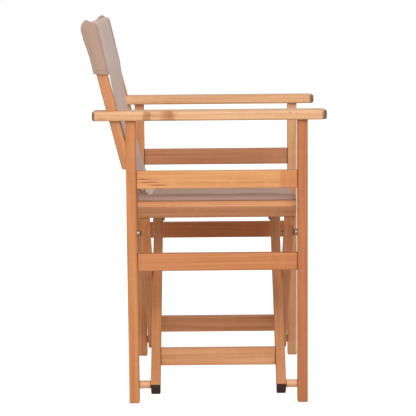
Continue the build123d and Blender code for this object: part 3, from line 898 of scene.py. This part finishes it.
@dataclass
class Sleeve:
    """A canvas pocket over the upper end of one back post, with a pointed top seam and a sewn rear edge.

    Args:
        place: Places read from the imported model.
        side: The side frame that it belongs to.
        sign: -1 on the right and +1 on the left.
        ear: Place of the pointed ear, from the rear edge (0) to the front (1).
        clearance: Gap from the post's sides to the cloth's middle.
        half_depth: Half the pocket's depth, which its folds are measured in.
        pinch: Heights between which the top is drawn into its seam.
        full: Height at which the pocket is deepest.
        bend: Heights between which the binding turns in under the shoulder.
        turn_in: How far it does.
    """

    place: Layout
    side: str
    sign: int
    ear: float = 0.46
    clearance: float = 4.2 * MM
    half_depth: float = 15.5 * MM
    pinch: Point = (0.808, 0.838)
    full: float = 0.83
    bend: Point = (0.798, 0.819)
    turn_in: float = 3.4 * MM

    def front_reach(self, z: float) -> float:
        """Half depth in front of the post's middle at height z."""
        share = ease(z, self.place.sleeve_bottom, self.full)
        return (14.6 + 1.6 * share) * MM

    def rear_reach(self, z: float) -> float:
        """Half depth behind the post's middle at height z."""
        share = (z - self.place.sleeve_bottom) / (self.full - self.place.sleeve_bottom)
        swell = 4.3 * ease(share, 0.3, 0.95) + 1.2 * (1 - ease(share, 0.0, 0.22))
        return (14.4 + swell + 0.4 * ripple(z * 30, 0.5, 2.0 + self.sign)) * MM

    def top_at(self, share: float) -> float:
        """Height of the top edge from rear (0) to front (1): a rounded rear shoulder, an ear and a dip."""
        rear = ((0.0, 819.0), (0.16, 826.6), (0.38, 832.6), (0.65, 836.6), (0.87, 839.6), (1.0, 841.4))
        front = ((0.0, 841.4), (0.12, 838.9), (0.3, 835.8), (0.5, 834.6), (0.8, 833.4), (1.0, 830.0))
        before = share <= self.ear
        line = rear if before else front
        part = share / self.ear if before else (share - self.ear) / (1 - self.ear)
        for (a, low), (b, high) in zip(line, line[1:]):
            if part <= b:
                return (low + (high - low) * (part - a) / (b - a)) * MM
        return line[-1][1] * MM

    def inset(self, z: float) -> float:
        """How far the binding has turned in at height z."""
        return self.turn_in * ease(z, *self.bend)

    def side_fold(self, depth: float, z: float) -> float:
        """How far a side wall bulges at a share of its depth and a height, in millimetres."""
        bottom = self.place.sleeve_bottom
        hollow = (1 - min(1.0, abs(depth)) ** 2) * ease(z, bottom, bottom + 0.03)
        high = ease(z, *self.pinch)
        return 1.1 * ripple(depth * 1.4, z * 26, 4.0 * self.sign) - 0.9 * hollow * (1 - high)

    def wall(self, name: str) -> bpy.types.Object:
        """Make the pocket's closed wall, open below.

        Args:
            name: The piece's name.

        Returns:
            The piece.
        """
        depth_steps, height_steps, width_steps = 14, 34, 12
        half = self.place.post_half_width + self.clearance
        bottom = self.place.sleeve_bottom
        bm = bmesh.new()
        bmesh.ops.create_grid(bm, x_segments=depth_steps, y_segments=height_steps, size=0.5)
        for vert in bm.verts:
            share, rise = vert.co.x + 0.5, vert.co.y + 0.5
            z = bottom + (self.top_at(share) - bottom) * rise
            reach = self.rear_reach(z) + self.front_reach(z)
            x = self.place.post_middle(z) - self.rear_reach(z) + share * reach
            vert.co = Vector((x, -half, z))
        grown = bmesh.ops.extrude_face_region(bm, geom=bm.faces[:])
        moved = [g for g in grown["geom"] if isinstance(g, bmesh.types.BMVert)]
        bmesh.ops.translate(bm, verts=moved, vec=(0.0, 2 * half, 0.0))
        across = [e for e in bm.edges if abs(e.verts[0].co.y - e.verts[1].co.y) > half]
        bmesh.ops.subdivide_edges(bm, edges=across, cuts=width_steps - 1, use_grid_fill=True)
        floor = [f for f in bm.faces if all(abs(v.co.z - bottom) < 0.01 * MM for v in f.verts)]
        bmesh.ops.delete(bm, geom=floor, context="FACES")
        rim = {v for e in bm.edges if e.is_boundary for v in e.verts}
        soft = [v for v in bm.verts if v not in rim]
        for _ in range(2):
            bmesh.ops.smooth_vert(bm, verts=soft, factor=0.5,
                                  use_axis_x=True, use_axis_y=True, use_axis_z=True)
        self.shape(bm, half)
        for vert in bm.verts:
            vert.co.y += self.sign * self.place.side_y
        self.lay_flat(bm)
        bmesh.ops.recalc_face_normals(bm, faces=bm.faces[:])
        piece = finish_mesh(bm, name)
        cloth = piece.modifiers.new("cloth", "SOLIDIFY")
        cloth.thickness = CLOTH
        cloth.offset = -1.0
        return piece

    def shape(self, bm: bmesh.types.BMesh, half: float) -> None:
        """Pinch the top into its seam and add the soft folds.

        Args:
            bm: The pocket, centred on Y = 0.
            half: Half its width.
        """
        bottom = self.place.sleeve_bottom
        for vert in bm.verts:
            x, y, z = vert.co
            depth = (x - self.place.post_middle(z)) / self.half_depth
            ridge = ease(z, *self.pinch) * max(0.0, 1 - abs(depth + 0.1) / 0.9)
            vert.co.y = y * (1 + 0.05 * ridge)
            sagging = (1 - (y / half) ** 2) * ridge
            vert.co.z -= 1.6 * MM * sagging
            outward = 1.0 if y > 0 else -1.0
            if abs(y) > half * 0.7:
                vert.co.y += outward * self.side_fold(depth, z) * MM
            low = 1 - ease(z, bottom, bottom + 0.012)
            vert.co.z += low * (1.3 * ripple(x * 90, y * 90, 6.5) - 0.9 * depth) * MM
            if depth < -0.85:
                vert.co.x += 0.7 * MM * ripple(z * 45, y * 20, 9.0)

    def lay_flat(self, bm: bmesh.types.BMesh) -> None:
        """Write the flat coordinates: across and up on each wall.

        Args:
            bm: The pocket.
        """
        layer = bm.loops.layers.uv.new("flat_cut")
        bm.normal_update()
        for face in bm.faces:
            sideways = abs(face.normal.y) > 0.7
            for loop in face.loops:
                x, y, z = loop.vert.co
                loop[layer].uv = (x - self.place.post_middle(z), z) if sideways else (y, z)

    def outer_wall(self, across: float, along: float) -> Vector:
        """The place of a point on the outer side wall.

        Args:
            across: Distance in front of the rear edge.
            along: Height.

        Returns:
            The point.
        """
        half = self.place.post_half_width + self.clearance
        x = self.place.post_middle(along) - self.rear_reach(along) + across
        depth = (x - self.place.post_middle(along)) / self.half_depth
        y = half + self.side_fold(depth, along) * MM
        return Vector((x, self.sign * (self.place.side_y + y), along))

    def build(self) -> list[bpy.types.Object]:
        """Make the pocket, its rear binding and its stitching.

        Returns:
            The pocket, then the binding and the stitches.
        """
        bottom = self.place.sleeve_bottom
        pocket = self.wall(f"{self.side}_sleeve_canvas")
        rows = spread((bottom + 1 * MM, 0), (819 * MM, 4 * MM))
        columns = spread((-0.8 * MM, 0), (6.6 * MM, 1.6 * MM))

        def proud(across: float, along: float) -> Vector:
            """The binding lies on the outer wall and rounds over its rear edge."""
            point = self.outer_wall(across + self.inset(along), along)
            tuck = 1 - ease(across, -0.8 * MM, 2.4 * MM)
            lift = 1.15 * MM * (1 + 0.25 * ripple(along * 60, across * 100, 1.5)) - 3.0 * MM * tuck ** 2
            return point + Vector((0.0, self.sign * lift, 0.0))

        binding = sew_sheet(f"{self.side}_sleeve_binding", columns, rows, proud, thickness=HEM_CLOTH)
        threads = [[(5.4 * MM, bottom + 3 * MM), (5.4 * MM, 817 * MM)],
                   [(8.2 * MM, bottom + 9 * MM), (29 * MM, bottom + 9 * MM)]]
        if self.sign > 0:
            threads = [list(reversed(row)) for row in threads]

        def under_thread(across: float, along: float) -> Vector:
            """Stitches lie on the binding near the rear edge and on the wall elsewhere."""
            on_binding = across < 7 * MM
            lift = 1.85 * MM if on_binding else 0.35 * MM
            inset = self.inset(along) if on_binding else 0.0
            return self.outer_wall(across + inset, along) + Vector((0.0, self.sign * lift, 0.0))

        thread = stitch_rows(f"{self.side}_sleeve_stitches", threads, under_thread, 0.0)
        return [pocket, binding, thread]


@dataclass
class SeatCanvas:
    """The canvas seat, rolled round a rod along each seat rail.

    Args:
        place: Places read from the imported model.
        back: The back canvas that runs under the rear edge.
        roll: Radius of the rolled hems, to the middle of the cloth.
        front: X of the front edge, from midway between the legs.
        rear: X of the rear edge in the middle.
        corner: X of the rear corners, beside the back canvas.
    """

    place: Layout
    back: BackCanvas
    roll: float = 5.5 * MM
    front: float = 171 * MM
    rear: float = -146 * MM
    corner: float = -173 * MM

    def surface(self, across: float, along: float) -> Vector:
        """The place of a flat point of the seat.

        Args:
            across: Distance over the cloth from its middle line, to the sitter's left.
            along: X from midway between the legs.

        Returns:
            The point.
        """
        hem_y, hem_z = self.place.hem_y, self.place.hem_z
        x = self.place.mid_x + along
        out, sign = abs(across), 1.0 if across >= 0 else -1.0
        loose = 0.35 * MM * ripple(along * 45, sign * 3, 2.2)
        if out > hem_y:
            turn = (out - hem_y) / self.roll
            radius = self.roll + loose * min(turn, 1.0)
            return Vector((x, sign * (hem_y + radius * math.sin(turn)), hem_z + radius * math.cos(turn)))
        share = out / hem_y
        top = hem_z + self.roll
        edge = ease(share, 0.995, 0.86)
        z = top - self.back.sag * (1 - share * share)
        z += edge * MM * (1.6 * ripple(across * 12, along * 5, 7.7)
                          + 0.8 * ripple(across * 30, along * 14, 1.2))
        channel = math.exp(-((out - 171 * MM - 1.5 * MM * ripple(along * 16, sign, 0.4)) / (4.5 * MM)) ** 2)
        z -= 8.0 * MM * channel
        ridge = math.exp(-((out - 152 * MM - 5 * MM * ripple(along * 11, sign, 5.4)) / (9 * MM)) ** 2)
        z += 5.2 * MM * ridge * (0.8 + 0.6 * ripple(along * 9, sign * 2, 6.1))
        if along < self.rear:
            inner = self.back.lower_half_width
            hung = ease(out, hem_y - 1 * MM, inner - 3 * MM)
            lift = self.edge_height(along)
            deep = ease(along, self.rear, self.corner)
            gather = math.sin((along * 3.6 + out * 0.9) * 190 + sign) * (1.2 + 2.6 * deep) * MM
            bunch = math.exp(-((out - 173 * MM) / (9 * MM)) ** 2)
            bunch *= ease(along, self.rear, self.rear - 11 * MM)
            z += hung * max(0.0, lift - z) + gather * hung * (1 - hung) * 3.2
            z += bunch * 15 * MM + 1.3 * gather * bunch
        return Vector((x, across, z))

    def edge_height(self, along: float) -> float:
        """Height of the back canvas's side edge where it passes X, over its curved lower end."""
        profile, x = self.back.profile, self.place.mid_x + along
        best = self.back.tail_z
        for point in profile.line:
            if point.y < 0.53 and point.x >= x:
                best = point.y
                break
        return best - 2.5 * MM

    def half_flat(self) -> float:
        """Half the width of the flat cut, with what is rolled round a rod."""
        return self.place.hem_y + self.roll * ROLLED

    def area(self) -> float:
        """Area of the flat cut, less what the back canvas takes up at the rear."""
        gap = 2 * (self.back.lower_half_width - 1 * MM) * (self.rear - self.corner)
        return 2 * self.half_flat() * (self.front - self.corner) - gap

    def build(self) -> list[bpy.types.Object]:
        """Make the seat, its front hem and its stitching.

        Returns:
            The sheet, then its hem and stitches.
        """
        hem_y, inner = self.place.hem_y, self.back.lower_half_width
        full = self.half_flat()
        columns = spread((-full, 0), (-hem_y, 1.6 * MM), (-inner, 2.2 * MM), (inner, GRID),
                         (hem_y, 2.2 * MM), (full, 1.6 * MM))
        rows = spread((self.corner, 0), (self.rear, 2.8 * MM), (self.front, GRID))

        def is_cloth(across: float, along: float) -> bool:
            """True inside the cut: between the rails in front, only beside the back canvas behind."""
            return along > self.rear or abs(across) > inner - 1 * MM

        sheet = sew_sheet("seat_canvas", columns, rows, self.surface, is_cloth)

        def below(across: float, along: float) -> Vector:
            """The hems lie under the sheet."""
            return self.surface(across, along) - Vector((0.0, 0.0, 0.95 * MM))

        inside = hem_y - 9 * MM
        hem_columns = spread((-inside, 0), (inside, GRID))
        hem_rows = spread((self.front - 14 * MM, 0), (self.front, 3.5 * MM))
        front_hem = sew_sheet("seat_front_hem", hem_columns, hem_rows, below, thickness=0.8 * MM)
        run = [(-hem_y + 12 * MM, self.front - 3 * MM), (-hem_y + 12 * MM, self.corner + 6 * MM)]
        threads = [[(inside, self.front - 12 * MM), (-inside, self.front - 12 * MM)],
                   run, [(-y, x) for y, x in run],
                   [(inner - 4 * MM, self.rear + 5 * MM), (-inner + 4 * MM, self.rear + 5 * MM)],
                   [(inner - 4 * MM, self.rear + 22 * MM), (-inner + 4 * MM, self.rear + 22 * MM)]]
        upper = stitch_rows("seat_stitches_top", threads, self.surface, TOP_LIFT)
        lower = stitch_rows("seat_stitches_under", threads[:3], self.surface, SEAT_UNDER_LIFT)
        return [sheet, front_hem, upper, lower]


# ---------------------------------------------------------------------------------------------
# The chair's parts and their finishes
# ---------------------------------------------------------------------------------------------


def dress(node: str, material: bpy.types.Material) -> None:
    """Give a CAD node its finish.

    Args:
        node: The node's name.
        material: The finish.
    """
    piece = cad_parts[node]
    for slot in piece.material_slots:
        slot.material = material
    if not piece.material_slots:
        piece.data.materials.append(material)
    log.info("%s dressed in %s", node, material.name)


def put_on(pieces: Iterable[bpy.types.Object], material: bpy.types.Material) -> None:
    """Give new pieces of canvas or thread their finish.

    Args:
        pieces: The pieces.
        material: The finish.
    """
    for piece in pieces:
        piece.data.materials.clear()
        piece.data.materials.append(material)
        log.info("%s made in %s", piece.name, material.name)


@dataclass
class Woodwork:
    """Every timber of the chair, each with its own board's colour and grain.

    Args:
        effects: The shared node groups.
        place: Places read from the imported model.
    """

    effects: Effects
    place: Layout

    def arm_knots(self) -> tuple[Knot, ...]:
        """Heartwood patches over the rear leg and a small knot near the front of the right armrest."""
        low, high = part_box("right_armrest")
        y, z = low[1], (low[2] + high[2]) / 2
        mid = self.place.mid_x
        heart = (0.36, 0.135, 0.048)
        return (Knot((mid - 150 * MM, y, z - 2 * MM), mm(12, 30, 20), 0.78, heart, 1.3),
                Knot((mid - 143 * MM, y, z + 4 * MM), mm(5, 20, 7), 0.7, heart, 1.2),
                Knot((mid - 104 * MM, y, z), mm(21, 34, 26), 0.68, heart, 1.4),
                Knot((mid - 99 * MM, y, z + 2 * MM), mm(9, 24, 13), 0.92, heart, 1.2),
                Knot((mid - 128 * MM, y, z + 3 * MM), mm(34, 20, 8), 0.3, heart, 0.9),
                Knot((mid + 157 * MM, y, z + 6 * MM), mm(3.5, 8, 2.8), 0.8),
                Knot((mid - 245 * MM, y, z - 5 * MM), mm(16, 9, 2.2), 0.4))

    def rail_knots(self) -> tuple[Knot, ...]:
        """Reddish streaks at the rear of the right upper rail, a pin knot and the spliced front end."""
        low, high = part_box("right_upper_rail")
        y, rear, front = low[1], low[0], high[0]
        streak = (0.36, 0.10, 0.05)
        marks = [Knot((rear + (12 + 17 * i) * MM, y, low[2] + (21 - 6.5 * i) * MM),
                      mm(24 + 3 * i, 9, 2.3), 0.95, streak) for i in range(3)]
        marks.append(Knot((rear + 34 * MM, y, low[2] + 20 * MM), mm(30, 9, 1.4), 0.6, streak))
        marks.append(Knot((self.place.mid_x + 30 * MM, y, low[2] + 21 * MM), mm(2.2, 8, 3), 0.6))
        splice = front - 35 * MM
        block = (0.52, 0.185, 0.058)
        marks.append(Knot((splice + 17 * MM, y, low[2] + 19 * MM), mm(27, 30, 70), 0.8, block))
        marks += [Knot((splice + shift * MM, y, low[2] + 19 * MM), (width * MM, 9 * MM, 26 * MM), 0.75,
                       (0.42, 0.13, 0.05)) for shift, width in ((0, 1.3), (6, 0.8), (21, 0.9), (27, 0.7))]
        return tuple(marks)

    def timbers(self) -> dict[str, Timber]:
        """The finish of each timber node."""
        up, along, post = GrainWay.UPRIGHT, GrainWay.ALONG, GrainWay.POST
        left, right = GrainWay.RISING_LEFT, GrainWay.RISING_RIGHT
        cuts = {
            "right_armrest": ((0.630, 0.348, 0.172), along, 24, 0.22, 0.30, self.arm_knots()),
            "left_armrest": ((0.696, 0.380, 0.190), along, 30, 0.25, 0.30, ()),
            "right_rear_leg": ((0.552, 0.211, 0.070), up, 22, 0.30, 0.45, ()),
            "right_front_leg": ((0.461, 0.156, 0.048), up, 42, 0.55, 0.40, ()),
            "left_rear_leg": ((0.570, 0.240, 0.094), up, 28, 0.40, 0.55, ()),
            "left_front_leg": ((0.660, 0.335, 0.155), up, 34, 0.40, 0.40, ()),
            "right_upper_rail": ((0.625, 0.279, 0.099), along, 18, 0.25, 0.25, self.rail_knots()),
            "left_upper_rail": ((0.505, 0.216, 0.095), along, 40, 0.50, 0.50, ()),
            "right_lower_rail": ((0.523, 0.195, 0.065), along, 38, 0.50, 0.35, ()),
            "left_lower_rail": ((0.504, 0.162, 0.041), along, 34, 0.55, 0.45, ()),
            "right_back_post": ((0.524, 0.213, 0.080), post, 24, 0.22, 0.30, ()),
            "left_back_post": ((0.600, 0.265, 0.110), post, 26, 0.28, 0.35, ()),
            "right_seat_rail": ((0.627, 0.290, 0.130), along, 20, 0.38, 0.45, ()),
            "left_seat_rail": ((0.64, 0.280, 0.120), along, 28, 0.36, 0.40, ()),
            "inner_stretcher": ((0.600, 0.275, 0.120), along, 16, 0.25, 0.60, ()),
            "outer_stretcher": ((0.510, 0.215, 0.088), along, 22, 0.45, 0.70, ()),
            "inner_rear_board": ((0.502, 0.207, 0.076), left, 30, 0.45, 0.60, ()),
            "inner_front_board": ((0.495, 0.204, 0.081), left, 26, 0.45, 0.60, ()),
            "outer_rear_board": ((0.632, 0.235, 0.078), right, 34, 0.50, 0.65, ()),
            "outer_front_board": ((0.583, 0.221, 0.082), right, 30, 0.50, 0.60, ()),
        }
        return {name: Timber(f"oiled_{name}", colour, way, 3.0 + 7 * index, rings, line, blotch, knots)
                for index, (name, (colour, way, rings, line, blotch, knots)) in enumerate(cuts.items())}

    def dress(self) -> None:
        """Put a finish on every timber node."""
        for node, timber in self.timbers().items():
            dress(node, timber.build(self.effects))
        pale = Timber("turned_pale_wood", (0.74, 0.42, 0.235), GrainWay.ALONG, 51.0, 30, 0.2, 0.2)
        material = pale.build(self.effects)
        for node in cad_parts:
            if node.endswith(("spacers", "dowels")):
                dress(node, material)


@dataclass
class Fittings:
    """Bolts, nuts, links, rods and rubber feet.

    Args:
        effects: The shared node groups.
    """

    effects: Effects

    def dress(self) -> None:
        """Put a finish on every fitting node."""
        zinc = Settled("zinc_plated_steel", (0.42, 0.40, 0.36), (0.22, 0.19, 0.15), 0.7, 1.0, 0.42, 0.00015)
        rubber = Settled("dark_rubber", (0.026, 0.010, 0.005), (0.11, 0.046, 0.022), 0.5, 0.0, 0.8, 0.0004)
        steel, feet = zinc.build(self.effects), rubber.build(self.effects)
        metal = ("bolts", "nuts", "washers", "screws", "links", "rod")
        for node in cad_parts:
            if node.endswith("rubber_feet"):
                dress(node, feet)
            elif node.endswith(metal):
                dress(node, steel)


@dataclass
class CanvasWork:
    """Everything that is sewn.

    Args:
        effects: The shared node groups.
        place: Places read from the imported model.
    """

    effects: Effects
    place: Layout

    def build(self) -> None:
        """Make the canvas pieces, tie the back to the right side frame and each sleeve to its own, and hide
        the parts that they replace.
        """
        # The back, sleeves and seat are one canvas. The back's colour is the lit copy. The sleeves' and
        # seat's darker colours are shaded copies of it: painted shade for the sleeves' sides that face away
        # from the light, and for the seat shaded by the arms and side frames.
        panel = Canvas("back_panel_canvas", (0.70, 0.53, 0.455), (0.53, 0.385, 0.325)).build(self.effects)
        sleeve_cloth_painted_shade = Canvas("sleeve_cloth_painted_shade", (0.46, 0.31, 0.24), (0.345, 0.225, 0.173)).build(self.effects)
        seat_cloth_painted_shade = Canvas("seat_cloth_painted_shade", (0.50, 0.335, 0.262), (0.39, 0.255, 0.198)).build(self.effects)
        thread = Settled("sewing_thread", (0.58, 0.44, 0.37), (0.40, 0.29, 0.24), 0.4, 0.0, 0.8, 0.0001)
        thread_look = thread.build(self.effects)
        # The sleeves' stitches are dark thread as a painted shadow: the thread is real, but its dark colour
        # stands for the shade along the seam where the binding stands off the wall.
        shadow_dark_thread = Settled("seam_thread_painted_shadow", (0.27, 0.17, 0.125), (0.2, 0.125, 0.09), 0.4, 0.0, 0.8, 0.0001)
        seam_shadow_look = shadow_dark_thread.build(self.effects)

        back = BackCanvas(self.place)
        sheet, *extras = back.build()
        put_on([sheet, *extras[:-2]], panel)
        put_on(extras[-2:], thread_look)
        for piece in (sheet, *extras):
            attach(piece, "right_side_frame")
            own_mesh(piece)
        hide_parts("back_panel")
        back.area()
        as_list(extras)

        for side, sign, ear in EARS:
            pocket, binding, stitches = Sleeve(self.place, side, sign, ear).build()
            # Pocket and binding take the canvas darkened as painted shade.
            put_on([pocket, binding], sleeve_cloth_painted_shade)
            # The stitches take the dark thread that paints the seam's shadow.
            put_on([stitches], seam_shadow_look)
            for piece in (pocket, binding, stitches):
                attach(piece, f"{side}_side_frame")
            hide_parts(f"{side}_back_sleeve")

        seat = SeatCanvas(self.place, back)
        sheet, *extras = seat.build()
        # The seat takes the canvas darkened as painted shade.
        put_on([sheet, extras[0]], seat_cloth_painted_shade)
        put_on(extras[1:], thread_look)
        for piece in (sheet, *extras):
            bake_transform(piece)
        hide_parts("seat_sling")
        seat.area()
        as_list(extras)


# ---------------------------------------------------------------------------------------------
# Studio
# ---------------------------------------------------------------------------------------------


@dataclass
class Studio:
    """Pale floor, soft light and the camera.

    Args:
        camera_at: The camera's place.
        yaw: Turn to the right of +Y, in degrees.
        pitch: Downward tilt, in degrees.
        roll: Roll, in degrees.
        lens: Focal length in millimetres on a 36 mm sensor.
        ambient: Strength of the room's even light.
        key_power: Watts of the main lamp.
        upper_power: Watts of the lamp that lights the upper half from the near side.
        floor_glow: How much the floor is brightened in the picture.
    """

    camera_at: tuple[float, float, float] = (0.0125, -3.6335, 0.927)
    yaw: float = -0.103
    pitch: float = 8.264
    roll: float = -0.513
    lens: float = 137.25
    ambient: float = 0.66
    key_power: float = 62.0
    upper_power: float = 13.0
    floor_glow: float = 0.66

    def camera(self) -> None:
        """Place the camera and make it the scene's own."""
        data = bpy.data.cameras.new("camera")
        data.lens, data.sensor_width, data.clip_end = self.lens, 36.0, 60.0
        yaw, pitch, roll = (math.radians(a) for a in (self.yaw, self.pitch, self.roll))
        ahead = Vector((math.sin(yaw) * math.cos(pitch), math.cos(yaw) * math.cos(pitch), -math.sin(pitch)))
        flat_right = Vector((math.cos(yaw), -math.sin(yaw), 0.0))
        flat_up = flat_right.cross(ahead)
        right = flat_right * math.cos(roll) + flat_up * math.sin(roll)
        up = flat_up * math.cos(roll) - flat_right * math.sin(roll)
        turned = Matrix((right, up, -ahead)).transposed().to_4x4()
        camera = bpy.data.objects.new("camera", data)
        camera.matrix_world = Matrix.Translation(self.camera_at) @ turned
        bpy.context.scene.collection.objects.link(camera)
        bpy.context.scene.camera = camera

    def lamp(self, name: str, at: Sequence[float], aim: Sequence[float], size: float, power: float) -> None:
        """Add a soft square lamp.

        Args:
            name: Its name.
            at: Its place.
            aim: The point that it faces.
            size: Length of its side.
            power: Watts.
        """
        data = bpy.data.lights.new(name, "AREA")
        data.shape, data.size, data.energy = "SQUARE", size, power
        lamp = bpy.data.objects.new(name, data)
        lamp.location = at
        lamp.rotation_euler = (Vector(aim) - Vector(at)).to_track_quat("-Z", "Y").to_euler()
        bpy.context.scene.collection.objects.link(lamp)

    def floor(self) -> None:
        """Lay a wide pale floor."""
        bm = bmesh.new()
        bmesh.ops.create_grid(bm, x_segments=2, y_segments=2, size=20.0)
        floor = finish_mesh(bm, "studio_floor")
        material = bpy.data.materials.new("pale_floor")
        material.use_nodes = True
        shader = material.node_tree.nodes["Principled BSDF"]
        shader.inputs["Base Color"].default_value = (0.60, 0.60, 0.60, 1.0)
        shader.inputs["Roughness"].default_value = 0.9
        shader.inputs["Specular IOR Level"].default_value = 0.1
        shader.inputs["Emission Color"].default_value = (1.0, 1.0, 1.0, 1.0)
        desk = NodeDesk(material.node_tree)
        seen = desk.add("LightPath").outputs["Is Camera Ray"]
        glow = desk.plus(0.04, desk.times(seen, self.floor_glow))
        material.node_tree.links.new(glow, shader.inputs["Emission Strength"])
        floor.data.materials.append(material)

    def world(self) -> None:
        """Light the room evenly, with a plain white background."""
        world = bpy.data.worlds.new("studio")
        world.use_nodes = True
        bpy.context.scene.world = world
        desk = NodeDesk(world.node_tree)
        background = world.node_tree.nodes["Background"]
        seen = desk.add("LightPath").outputs["Is Camera Ray"]
        background.inputs["Color"].default_value = (1.0, 1.0, 1.0, 1.0)
        strength = desk.plus(self.ambient, desk.times(seen, 1.0 - self.ambient))
        world.node_tree.links.new(strength, background.inputs["Strength"])

    def build(self) -> None:
        """Set up the whole studio."""
        self.floor()
        self.world()
        middle = (0.0, 0.0, 0.45)
        self.lamp("key_lamp", (0.7, -3.6, 2.3), middle, 2.2, self.key_power)
        self.lamp("fill_lamp", (-3.2, -1.2, 1.6), middle, 2.0, self.key_power * 0.25)
        self.lamp("upper_lamp", (0.0, -2.1, 1.65), (0.0, 0.0, 0.72), 1.0, self.upper_power)
        self.lamp("top_lamp", (0.2, 0.3, 3.4), middle, 2.4, self.key_power * 0.12)
        self.camera()
        view = bpy.context.scene.view_settings
        view.view_transform, view.look = "Standard", "None"


def main() -> None:
    """Build the studio, the finishes and the canvas, in that order."""
    logging.basicConfig(level=logging.INFO, format="%(message)s")
    Studio().build()
    effects = Effects()
    place = Layout.read()
    Woodwork(effects, place).dress()
    Fittings(effects).dress()
    CanvasWork(effects, place).build()


if __name__ == "__main__":
    main()
